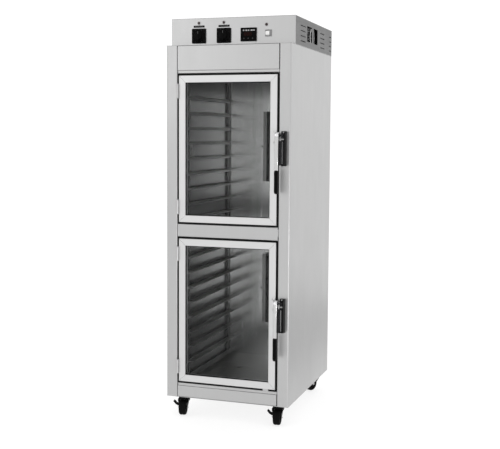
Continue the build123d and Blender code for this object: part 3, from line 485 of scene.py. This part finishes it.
def make_scale(name, mid, face_y):
    """Marks on the bezel round one dial, every fifth one wider."""
    marks = Form()
    for i in range(SCALE_MARKS):
        angle = math.radians(-SCALE_SWEEP / 2 + SCALE_SWEEP * i / (SCALE_MARKS - 1))
        along = Vector((math.sin(angle), 0, math.cos(angle)))
        across = Vector((math.cos(angle), 0, -math.sin(angle)))
        inner, outer = SCALE_R
        half = 0.45 if i % 5 else 0.9
        corners = [mid + along * r + across * s for r, s in
                   ((inner, -half), (inner, half), (outer, half), (outer, -half))]
        marks.skin([marks.ring([(c.x, y, c.z) for c in corners]) for y in (face_y - 0.25, face_y + 0.1)])
    marks.piece(f"{name}_dial_scale", "scale_grey", ROOT)


def make_dial(name, mid, face_y):
    """Fluted knob with a finger bar and a pointer line."""
    body = f"{name}_dial"
    centre = (mid.x, 0, mid.z)
    seat = face_y + 1.5
    knob = Form()
    knob.lathe(shifted(KNOB_SKIRT, seat), centre, "Y", 72)
    knob.lathe(shifted(KNOB_CAP, seat), centre, "Y", 96, flutes=24, depth=1.1)
    bar = rounded((mid.x - 4.5, mid.x + 4.5), (mid.z - 23.5, mid.z + 23.5), 4.2)
    knob.prism(bar, "Y", seat - 4.6, face_y - 13.8)
    knob.piece(f"{name}_dial_knob", "dial_plastic", body, bevel=0.7, replaces=(f"{name}_dial",))
    pointer = Form()
    line = rounded((mid.x - 0.8, mid.x + 0.8), (mid.z + 10, mid.z + 22.5), 0.7)
    pointer.prism(line, "Y", face_y - 14.05, face_y - 13.0)
    pointer.piece(f"{name}_dial_pointer", "print_grey", body)


def make_name_plate(name, mid, bezel_top, panel_y):
    """Black plate above a dial, with a row of plain marks in place of words."""
    plate = Form()
    plate_x = (mid.x - 28.5, mid.x + 28.5)
    plate_z = (bezel_top + 5, bezel_top + 15)
    plate.prism(rounded(plate_x, plate_z, 1.2), "Y", panel_y - 1.0, panel_y)
    plate.piece(f"{name}_name_plate", "black_plastic", ROOT, bevel=0.2)
    rule = Form()
    for i in range(PLATE_MARKS):
        x = mid.x - 19 + i * 6.3
        mark = rounded((x - 1.9, x + 1.9), (plate_z[0] + 3.6, plate_z[1] - 3.6), 0.6)
        rule.prism(mark, "Y", panel_y - 1.15, panel_y - 0.9)
    rule.piece(f"{name}_plate_marks", "print_grey", ROOT)


def add_digit(form, x, z, y):
    """The seven bars of one unlit digit."""
    for dx, dz, half_w, half_h in SEGMENTS:
        bar = rounded((x + dx - half_w, x + dx + half_w), (z + dz - half_h, z + dz + half_h), 0.7)
        form.prism(bar, "Y", y, y + 0.3)


def make_thermometer():
    """Window, marks, keys and unlit digits of the digital thermometer."""
    low, high = node_box("digital_thermometer")
    mid = (low + high) / 2
    pane_x, pane_z = (low.x + 6.2, high.x - 6.2), (low.z + 6.7, high.z - 6.7)
    pane = Form()
    pane.prism(rounded(pane_x, pane_z, 1.5), "Y", low.y + 0.4, low.y + 1.4)
    pane.piece("thermometer_window", "display_lens", ROOT, bevel=0.2)
    marks = Form()
    for i, width in enumerate(DISPLAY_MARK_WIDTHS):
        x = pane_x[0] + 6 + i * 13
        mark = rounded((x, x + width), (pane_z[1] - 9, pane_z[1] - 3), 0.6)
        marks.prism(mark, "Y", low.y + 0.2, low.y + 0.5)
    marks.piece("thermometer_marks", "display_mark", ROOT)
    keys = Form()
    for i in range(3):
        spot = (pane_x[0] + 11 + i * 22, 0, pane_z[0] + 7)
        keys.lathe(shifted(((-0.8, 2.6), (-0.2, 3.4), (0.5, 3.4)), low.y), spot, "Y", 24)
    keys.piece("thermometer_keys", "scale_grey", ROOT)
    digits = Form()
    for i in range(3):
        add_digit(digits, pane_x[0] + 17 + i * DIGIT_PITCH, mid.z + 2.5, low.y + 0.15)
    digits.piece("thermometer_digits", "display_digit", ROOT)


def make_switch_rim():
    """Raised rim round the power rocker."""
    low, high = node_box("power_switch_housing")
    rocker_low, rocker_high = node_box("power_rocker")
    edge, gap = 0.3, 0.6
    outer = rounded((low.x + edge, high.x - edge), (low.z + edge, high.z - edge), 2.5)
    inner_x = (rocker_low.x - gap, rocker_high.x + gap)
    inner_z = (rocker_low.z - gap, rocker_high.z + gap)
    inner = rounded(inner_x, inner_z, 1.5)
    back, front = low.y + 0.5, low.y - 0.6
    rim = Form()
    rings = [rim.ring([(x, y, z) for x, z in loop]) for loop, y in
             ((outer, back), (outer, front), (inner, front), (inner, back))]
    rim.skin(rings, closed=True)
    rim.piece("power_switch_rim", "switch_plastic", ROOT, bevel=0.25)


def make_controls():
    """What is seen on the front panel: dials, plates, thermometer, switch and pilot lights."""
    panel_y = node_box("control_panel")[0].y
    for name in ("heat", "humidity"):
        low, high = node_box(f"{name}_thermostat")
        mid = (low + high) / 2
        make_scale(name, mid, low.y)
        make_dial(name, mid, low.y)
        make_name_plate(name, mid, high.z, panel_y)
    make_thermometer()
    make_switch_rim()
    lights = Form()
    for x, z in PILOT_CENTRES:
        lights.lathe(shifted(PILOT_RING, panel_y), (x, 0, z), "Y", 40, closed=True)
    lights.piece("pilot_light_rings", "screw_steel", ROOT)


# ---- latches ------------------------------------------------------------------------
HUB_R = 14.5              # round end of the lever, beside the wider turned hub
KNEE_DROP = 48.0          # from the pivot down to the straight part of the lever
# Share of the grip's length, and how full its section is there.
GRIP_SWELLS = ((0, 0.35), (0.012, 0.62), (0.04, 0.84), (0.08, 0.96), (0.14, 1.0), (0.5, 0.97),
               (0.85, 1.0), (0.96, 0.98), (0.985, 0.92), (1.0, 0.86))
STRIKE_H = 165.0
STRIKE_POCKET = 46.0      # open top of the strike, where the spindle's roller sits
CHEEK_T = 5.0


def make_lever(door, pivot, grip_low, grip_high):
    """Flat bright arm from the round end at the pivot down to the grip."""
    front, back = grip_low.y + 6, grip_low.y + 15.5
    knee = pivot.z - KNEE_DROP
    side = (
        arc(pivot.y, pivot.z, HUB_R, 60, 185, 14)
        + [(front + 1.5, knee + 12), (front, knee), (front, grip_high.z)]
        + [(back, grip_high.z), (back, knee), (back + 3, knee + 14)]
        + arc(pivot.y, pivot.z, HUB_R, -40, 30, 8)
    )
    lever = Form()
    lever.prism(side, "X", grip_low.x + 0.3, grip_high.x - 0.3)
    replaced = (f"{door}_latch_lever",)
    # Painted shade: the chrome arm takes the darker lever_steel colour.
    lever.piece(f"{door}_latch_arm", "lever_steel", f"{door}_latch", bevel=2.2, replaces=replaced)


def make_hub(door, pivot, near, far, tip):
    """Turned hub about the lever's end, from near to far, and the spindle on to its tip."""
    spot = (0, pivot.y, pivot.z)
    hub = Form()
    hub.lathe(((near - 0.4, 4), (near - 0.4, 12), (near + 1.2, 15), (near + 4, 15.8), (far - 5, 15.8),
               (far - 1, 14.2), (far + 0.6, 11), (far + 0.8, 6), (far + 0.8, 4.4)), spot, "X", 56)
    hub.piece(f"{door}_latch_hub", "chrome", f"{door}_latch")
    spindle = Form()
    spindle.lathe(((far, 4.5), (tip - 9, 4.5), (tip - 0.6, 4.5), (tip, 3.6)), spot, "X", 24)
    tongue = rounded((pivot.y - 2, pivot.y + 11.5), (pivot.z - 3, pivot.z + 3), 1.5)
    spindle.prism(tongue, "X", tip - 9, tip - 0.5)
    spindle.piece(f"{door}_latch_spindle", "strike_metal", f"{door}_latch")


def make_grip(door, low, high):
    """Soft black grip, slightly waisted, with a round lower end."""
    mid, half = (low + high) / 2, (high - low) / 2
    span = high.z - low.z
    grip = Form()
    rings = []
    for share, swell in GRIP_SWELLS:
        loop = rounded((mid.x - half.x * swell, mid.x + half.x * swell),
                       (mid.y - half.y * swell, mid.y + half.y * swell), 5.0 * swell)
        rings.append(grip.ring([(a, b, low.z + share * span) for a, b in loop]))
    grip.skin(rings)
    replaced = (f"{door}_latch_grip",)
    grip.piece(f"{door}_latch_handle", "grip_plastic", f"{door}_latch", replaces=replaced)


def make_latch_base(door, pivot):
    """Plate on the door's frame, the bearing of the spindle, and two screws."""
    low, high = node_box(f"{door}_latch_housing")
    face = node_box(f"{door}_door_frame")[0].y
    body = f"{door}_door"
    base = Form()
    base.prism(rounded((low.x, low.x + 22), (low.z, high.z), 4), "Y", face - 3, face)
    bearing = rounded((high.x - 9.5, high.x), (pivot.z - 14, pivot.z + 14), 3)
    base.prism(bearing, "Y", pivot.y - 11, face - 2)
    replaced = (f"{door}_latch_housing",)
    base.piece(f"{door}_latch_base", "door_aluminium", body, bevel=0.8, replaces=replaced)
    screws = Form()
    for z in (high.z - 8, low.z + 8):
        socket_screw(screws, (low.x + 8, face - 3, z), "Y", 4.0, -1)
    screws.piece(f"{door}_latch_screws", "screw_steel", body)


def make_latch(door):
    """Lever, hub, spindle and grip, and their base on the door."""
    tip = node_box(f"{door}_latch_lever")[1].x
    grip_low, grip_high = node_box(f"{door}_latch_grip")
    pivot = joint_place(f"{door}_latch_pull")[0]
    make_lever(door, pivot, grip_low, grip_high)
    make_hub(door, pivot, grip_low.x, grip_high.x, tip)
    make_grip(door, grip_low, grip_high)
    make_latch_base(door, pivot)


def make_strike(door, low, high, replaced):
    """Cast strike with a groove down its middle, a cheek at the right and its roller. The casting's
    near-black is painted dark reflection of its chrome, and the cheek's black is painted shade on the
    strike's right side.
    """
    mid = (low.x + high.x) / 2
    inner = high.x - CHEEK_T
    back = high.y - 9
    pocket_z = high.z - STRIKE_POCKET
    base = Form()
    base.prism(rounded((low.x, high.x), (low.z, high.z), 4), "Y", high.y - 10, high.y)
    section = ((low.x, back), (low.x, low.y + 2.5), (low.x + 2.5, low.y), (mid - 4, low.y),
               (mid - 1.2, low.y + 5), (mid + 1.2, low.y + 5), (mid + 4, low.y),
               (inner, low.y), (inner, back))
    base.prism(section, "Z", low.z + 4, pocket_z)
    # Painted reflection: the chrome casting is coloured near-black.
    base.piece(f"{door}_strike_casting", "strike_metal", ROOT, bevel=1.0, replaces=replaced)
    cheek = Form()
    outline = [(back, low.z + 4), (low.y + 4, low.z + 4), (low.y, low.z + 9)]
    outline += [(low.y, high.z - 10), (low.y + 8, high.z - 1.5), (back, high.z - 1.5)]
    cheek.prism(outline, "X", inner + 0.2, high.x - 0.2)
    # Painted shade: the cheek is black for the strike's shaded right side.
    cheek.piece(f"{door}_strike_cheek", "black_plastic", ROOT, bevel=1.2)
    fittings = Form()
    roller = ((low.x + 3, 3), (low.x + 3, 4.6), (low.x + 4, 5), (inner - 1, 5), (inner, 4.4))
    fittings.lathe(roller, (0, high.y - 20, high.z - 40), "X", 24)
    wire = [(mid + 1.1 * math.cos(a), low.y + 4.2 + 1.1 * math.sin(a)) for a in
            (math.pi * k / 4 for k in range(8))]
    fittings.prism(wire, "Z", low.z + 12, pocket_z - 4)
    socket_screw(fittings, (mid - 2, high.y - 10, high.z - 6.5), "Y", 3.4, -1)
    fittings.piece(f"{door}_strike_fittings", "screw_steel", ROOT)


def make_latches():
    for door in DOORS:
        make_latch(door)
    low, high = node_box("latch_strikes")
    lower_high = Vector((high.x, high.y, low.z + STRIKE_H))
    upper_low = Vector((low.x, low.y, high.z - STRIKE_H))
    make_strike("lower", low, lower_high, ("latch_strikes",))
    make_strike("upper", upper_low, high, ())


# ---- doors --------------------------------------------------------------------------
FRAME_MEMBER = 34.0       # width of the door frame's members
BEAD_W = 3.5
# Inset and height above the glass, round the bead's section.
BEAD_SECTION = ((0, 0), (0, 3.2), (BEAD_W * 0.6, 2.6), (BEAD_W, 0))


def make_mitre_seams(door, low, high):
    """Hairlines where the frame's members meet at the corners."""
    seams = Form()
    for sx in (-1, 1):
        for sz in (-1, 1):
            outer = Vector((low.x if sx < 0 else high.x, 0, low.z if sz < 0 else high.z))
            run = Vector((-sx, 0, -sz)) * FRAME_MEMBER
            across = Vector((sx, 0, -sz)).normalized() * 0.3
            start, end = outer + run * 0.05, outer + run * 0.985
            corners = (start - across, start + across, end + across, end - across)
            seams.skin([
                seams.ring([(c.x, y, c.z) for c in corners]) for y in (low.y - 0.08, low.y + 0.1)
            ])
    seams.piece(f"{door}_mitre_seams", "seam_shadow", f"{door}_door")


def make_glazing_bead(door, low, high):
    """Rubber bead round the glass, inside the frame."""
    glass_y = node_box(f"{door}_door_glass")[0].y
    bead = Form()
    loops = []
    for inset, rise in BEAD_SECTION:
        edge = FRAME_MEMBER + inset
        loop = rounded((low.x + edge, high.x - edge), (low.z + edge, high.z - edge), 1.5, 3)
        loops.append(bead.ring([(x, glass_y - rise, z) for x, z in loop]))
    bead.skin(loops, closed=True)
    bead.piece(f"{door}_glazing_bead", "gasket_rubber", f"{door}_door")


def make_doors():
    for door in DOORS:
        low, high = node_box(f"{door}_door_frame")
        make_mitre_seams(door, low, high)
        make_glazing_bead(door, low, high)


# ---- casters ------------------------------------------------------------------------
# Half of each section, from the middle plane outwards or back: (along the axle, radius).
TYRE_HALF = ((14.5, 24), (17, 26), (17, 32), (15.8, 34.6), (13, 36.8), (9, 37.8), (4, 38), (3, 37.3))
HUB_HALF = ((16, 4.3), (16.8, 6), (16.8, 10), (13, 12), (11, 20), (14, 24.2))
AXLE_BOLT_OUT = 22.6
TREAD_RIDGES = 4
TREAD_PITCH = 3.6
LEVER_SLOPE = (24.0, 18.0)      # run and rise of the brake lever's arm


def mirrored(half):
    """Closed profile from one half of it."""
    return [(-along, r) for along, r in half] + [(along, r) for along, r in reversed(half)]


def make_wheels():
    """Rubber tyres on moulded hubs, with axle bolts."""
    for corner in CASTERS:
        centre, axis = joint_place(f"{corner}_roll")
        turn = axis.to_track_quat("Z", "Y").to_matrix().to_4x4()
        place = Matrix.Translation(centre * MM) @ turn
        wheel = f"{corner}_wheel"
        tyre = Form()
        tyre.lathe(mirrored(TYRE_HALF), (0, 0, 0), "Z", 72, closed=True)
        replaced = (f"{corner}_caster_wheel",)
        tyre.piece(f"{corner}_tyre", "wheel_rubber", wheel, replaces=replaced, place=place)
        hub = Form()
        hub.lathe(mirrored(HUB_HALF), (0, 0, 0), "Z", 48, closed=True)
        hub.piece(f"{corner}_wheel_hub", "black_plastic", wheel, place=place)
        bolts = Form()
        for side in (-1, 1):
            hex_screw(bolts, (0, 0, side * AXLE_BOLT_OUT), "Z", 6.0, side)
        bolts.piece(f"{corner}_axle_bolts", "screw_steel", f"{corner}_caster", place=place)


def make_brake_treads():
    """Ridges across the toe of each brake lever."""
    for corner in FRONT_CASTERS:
        pin, axis = joint_place(f"{corner}_brake_press")
        forward = -axis
        out = Vector((0, 0, 1)).cross(forward)
        if out.x > 0:
            out = -out
        run, lift = LEVER_SLOPE
        rise = Vector((out.x * run, out.y * run, lift)).normalized()
        ridges = Form()
        for i in range(TREAD_RIDGES):
            spot = pin + rise * (16 + i * TREAD_PITCH) + Vector((0, 0, 3.4))
            corners = [spot + rise * a + forward * b
                       for a, b in ((-0.9, -8), (0.9, -8), (0.9, 8), (-0.9, 8))]
            ridges.skin([ridges.ring([(c.x, c.y, c.z + dz) for c in corners]) for dz in (-1.2, 0.6)])
        ridges.piece(f"{corner}_brake_tread", "caster_black", f"{corner}_brake", bevel=0.3)


# ---- outside trim -------------------------------------------------------------------
RETURN_SCREWS = 8
RETURN_SCREW_X = 292.0
RETURN_SCREW_PITCH = 222.0
BOX_SCREW_X = (-280, -100, 100, 280)
BOX_SETBACK = 67.6        # control box sides, behind the front of the stiles
LOUVRE_SPANS = ((156.0, 244.0), (534.0, 617.0), (724.0, 765.0))
LOUVRE_ROWS = 4
LOUVRE_PITCH = 24.3
# Section of a hood: how far in from the wall and how far below its top.
HOOD_SECTION = ((0, 0), (4, 0.6), (7.5, 3.2), (9, 8), (8, 8), (6.5, 4), (3.5, 1.8), (0, 1.2))
GUARD_H = 384.0
GUARD_COVER_W = 20.0
GUARD_SLOTS = 18
GUARD_SLOT_PITCH = 19.8
SHEET_T = 1.6             # edge of the folded covers and channels


def make_rear_screws():
    """Hexagon washer-head screws along the rear returns and the back of the box."""
    rear = node_box("panel_screws")[0].y
    screws = Form()
    for side in (-1, 1):
        for i in range(RETURN_SCREWS):
            spot = (side * RETURN_SCREW_X, rear, 200 + i * RETURN_SCREW_PITCH)
            hex_screw(screws, spot, "Y", 3.3, 1)
    for x in BOX_SCREW_X:
        hex_screw(screws, (x, rear, node_box("control_box_lid")[1].z - 12), "Y", 3.3, 1)
    screws.piece("rear_screw_heads", "screw_steel", ROOT, replaces=("panel_screws",))


def make_louvre_hoods():
    """Pressed hoods behind the vent slots on both sides of the control box."""
    low, high = node_box("control_box_sides")
    for side, name in ((-1, "left"), (1, "right")):
        hoods = Form()
        wall = side * (high.x - 1.4)
        for row in range(LOUVRE_ROWS):
            top = low.z + 24 + row * LOUVRE_PITCH + 3.4
            section = [(wall - side * inward, top - drop) for inward, drop in HOOD_SECTION]
            for start, end in LOUVRE_SPANS:
                hoods.prism(section, "Y", low.y - BOX_SETBACK + start - 2, low.y - BOX_SETBACK + end + 2)
        hoods.piece(f"{name}_louvre_hoods", "outer_steel", ROOT)


def make_seams():
    """Shadow line under the lid of the control box and along the roof's edge."""
    low, high = node_box("control_box_lid")
    roof_low = node_box("roof_panel")[0]
    proud, inset, height = 0.02, 1.0, 0.7
    seam = Form()
    for z, y_front in ((low.z - 0.6, low.y), (roof_low.z - 0.4, roof_low.y)):
        outer, inner = (
            ((low.x + d, y_front + d), (high.x - d, y_front + d),
             (high.x - d, high.y - d), (low.x + d, high.y - d))
            for d in (-proud, inset)
        )
        rings = [seam.ring([(x, y, level) for x, y in outline]) for outline, level in
                 ((outer, z), (outer, z + height), (inner, z + height), (inner, z))]
        seam.skin(rings, closed=True)
    seam.piece("sheet_seams", "seam_shadow", ROOT)


def add_guard_cover(form, x, bottom, front, back):
    """Slotted cover, near-black as painted shade of the guard's shaded right half, with a knurled knob
    at half height, left of the channel beside it.
    """
    span = (bottom, bottom + GUARD_H)
    form.prism(rounded(x, span, 2), "Y", front, front + SHEET_T)
    for edge in (x[0], x[1] - SHEET_T):
        form.prism(rounded((edge, edge + SHEET_T), span, 0.5), "Y", front + 1.7, back)
    for i in range(GUARD_SLOTS):
        z = bottom + 24 + i * GUARD_SLOT_PITCH
        form.prism(rounded((x[0] + 6, x[1] - 6), (z - 5, z + 5), 2), "Y", front - 0.5, front + 0.1)
    left = node_box("probe_guards")[0].x
    knob = ((left + 10, 3), (left + 5, 3), (left + 4.5, 5), (left + 1, 5), (left, 4))
    spot = (0, (front + back) / 2, bottom + GUARD_H / 2)
    form.lathe(knob, spot, "X", 32, flutes=12, depth=0.4)


def add_guard_channel(form, x, cover_x, bottom, front, back, wall):
    """Dull channel with a middle rib, and the two brackets to the wall behind both pieces."""
    span = (bottom, bottom + GUARD_H)
    form.prism(rounded(x, span, 2), "Y", back - 3, back)
    for edge in (x[0], (x[0] + x[1]) / 2 - SHEET_T / 2, x[1] - SHEET_T):
        form.prism(rounded((edge, edge + SHEET_T), span, 0.5), "Y", front + 3, back - 3.1)
    bracket_x = (cover_x[0] + x[0]) / 2
    for z in (bottom + 3, bottom + GUARD_H - 15):
        bracket = [(back, z), (wall, z), (wall, z + 12), (back, z + 12)]
        form.prism(bracket, "X", bracket_x - 4, bracket_x + 8)


def make_guards():
    """Probe guards on the chamber's back wall, one behind each window."""
    low, high = node_box("probe_guards")
    cover_x = (high.x - GUARD_COVER_W, high.x)
    channel_x = (high.x - 2 * GUARD_COVER_W, high.x - GUARD_COVER_W - 0.4)
    front, back = low.y, low.y + 12
    covers, channels = Form(), Form()
    for bottom in (low.z, high.z - GUARD_H):
        add_guard_cover(covers, cover_x, bottom, front, back)
        add_guard_channel(channels, channel_x, cover_x, bottom, front, back, high.y)
    # Painted shade: the covers take the near-black of the guard's shaded right half.
    covers.piece("probe_guard_covers", "guard_black", ROOT, bevel=0.4, replaces=("probe_guards",))
    channels.piece("probe_guard_channels", "guard_grey", ROOT, bevel=0.3)


def make_sill_tab():
    """Small bright stop on the sill below the lower door."""
    low, high = node_box("lower_door_frame")
    tab = Form()
    outline = rounded((high.x - 62, high.x - 34), (low.z - 9.5, low.z - 0.6), 1.5)
    tab.prism(outline, "Y", low.y + 2.5, low.y + 6)
    tab.piece("sill_stop", "screw_steel", ROOT, bevel=0.4)


# CAD nodes whose sharp edges are broken, to catch the light.
EDGED_NODES = tuple(f"{corner}_caster_fork" for corner in CASTERS) + (
    "front_left_brake_lever", "front_right_brake_lever", "caster_plates", "lower_door_frame",
    "upper_door_frame", "heat_thermostat", "humidity_thermostat", "power_switch_housing",
    "power_rocker", "humidity_tank", "contactor",
)
for node in EDGED_NODES:
    add_bevel(nodes[node], 0.6)
make_controls()
make_latches()
make_doors()
make_wheels()
make_brake_treads()
make_rear_screws()
make_louvre_hoods()
make_seams()
make_sill_tab()
make_guards()


# ---- studio -------------------------------------------------------------------------
FLOOR_RADIUS = 7.0
WALL_BEND = 3.0
WALL_TOP = 9.0
WALL_SIDES = 96
BEND_STEPS = 12


def make_cyclorama():
    """Pale floor that curves up into a round wall, far out on every side."""
    profile = [(0.0, 0.0), (FLOOR_RADIUS, 0.0)]
    for i in range(1, BEND_STEPS + 1):
        angle = math.pi / 2 * i / BEND_STEPS
        profile.append((FLOOR_RADIUS + WALL_BEND * math.sin(angle), WALL_BEND * (1 - math.cos(angle))))
    profile.append((FLOOR_RADIUS + WALL_BEND, WALL_TOP))
    form = bmesh.new()
    edge_loop = [form.verts.new((r, 0, z)) for r, z in profile]
    edges = [form.edges.new(pair) for pair in zip(edge_loop, edge_loop[1:])]
    bmesh.ops.spin(form, geom=edge_loop + edges, cent=(0, 0, 0), axis=(0, 0, 1),
                   angle=2 * math.pi, steps=WALL_SIDES, use_merge=True)
    bmesh.ops.remove_doubles(form, verts=form.verts, dist=1e-5)
    bmesh.ops.recalc_face_normals(form, faces=form.faces)
    for face in form.faces:
        face.smooth = True
    mesh = bpy.data.meshes.new("cyclorama")
    form.to_mesh(mesh)
    form.free()
    cyclorama = bpy.data.objects.new("cyclorama", mesh)
    bpy.context.scene.collection.objects.link(cyclorama)
    shade = Shade("cyclorama").set(Roughness=0.8, Specular_IOR_Level=0.2)
    shade.set(Emission_Color=(1, 1, 1, 1), Emission_Strength=0.78)
    mottle = shade.noise((3.0,) * 3)
    shade.link(shade.blend(mottle, grey(0.27), grey(0.29)), "Base Color")
    mesh.materials.append(shade.material)


def area_light(name, place, target, size, power):
    """Soft lamp that isn't seen itself."""
    data = bpy.data.lights.new(name, "AREA")
    data.shape = "RECTANGLE"
    data.size, data.size_y = size
    data.energy = power
    light = bpy.data.objects.new(name, data)
    light.visible_camera = False
    bpy.context.scene.collection.objects.link(light)
    aim = Vector(target) - Vector(place)
    turn = aim.to_track_quat("-Z", "Y").to_matrix().to_4x4()
    light.matrix_world = Matrix.Translation(Vector(place)) @ turn


def make_flag(name, corners, level):
    """Card that shows only in reflections, so that metal has something duller to mirror."""
    form = bmesh.new()
    form.faces.new([form.verts.new(corner) for corner in corners])
    mesh = bpy.data.meshes.new(name)
    form.to_mesh(mesh)
    form.free()
    card = bpy.data.objects.new(name, mesh)
    bpy.context.scene.collection.objects.link(card)
    shade = Shade(name).set(Roughness=0.9, Base_Color=(*grey(level), 1))
    mesh.materials.append(shade.material)
    card.visible_camera = False
    card.visible_diffuse = False
    card.visible_shadow = False
    card.visible_transmission = False


def make_studio():
    make_cyclorama()
    world = bpy.data.worlds.new("studio")
    bpy.context.scene.world = world
    world.use_nodes = True
    background = world.node_tree.nodes["Background"]
    background.inputs["Color"].default_value = (1.0, 1.0, 1.0, 1)
    background.inputs["Strength"].default_value = 0.9
    area_light("key", (-2.4, -4.0, 2.3), (0, 0, 1.2), (1.2, 1.6), 7)
    area_light("low", (2.6, -3.0, 0.35), (0.2, -0.3, 0.6), (1.6, 0.4), 14)
    area_light("side", (2.6, 3.4, 2.2), (0.3, 0.0, 1.4), (0.8, 1.6), 1.5)
    card = ((0.7, 0.2, 0.01), (3.0, 0.2, 0.01), (3.0, 3.0, 0.01), (0.7, 3.0, 0.01))
    make_flag("low_flag", card, 0.75)
    bpy.context.scene.view_settings.view_transform = "Standard"


make_studio()
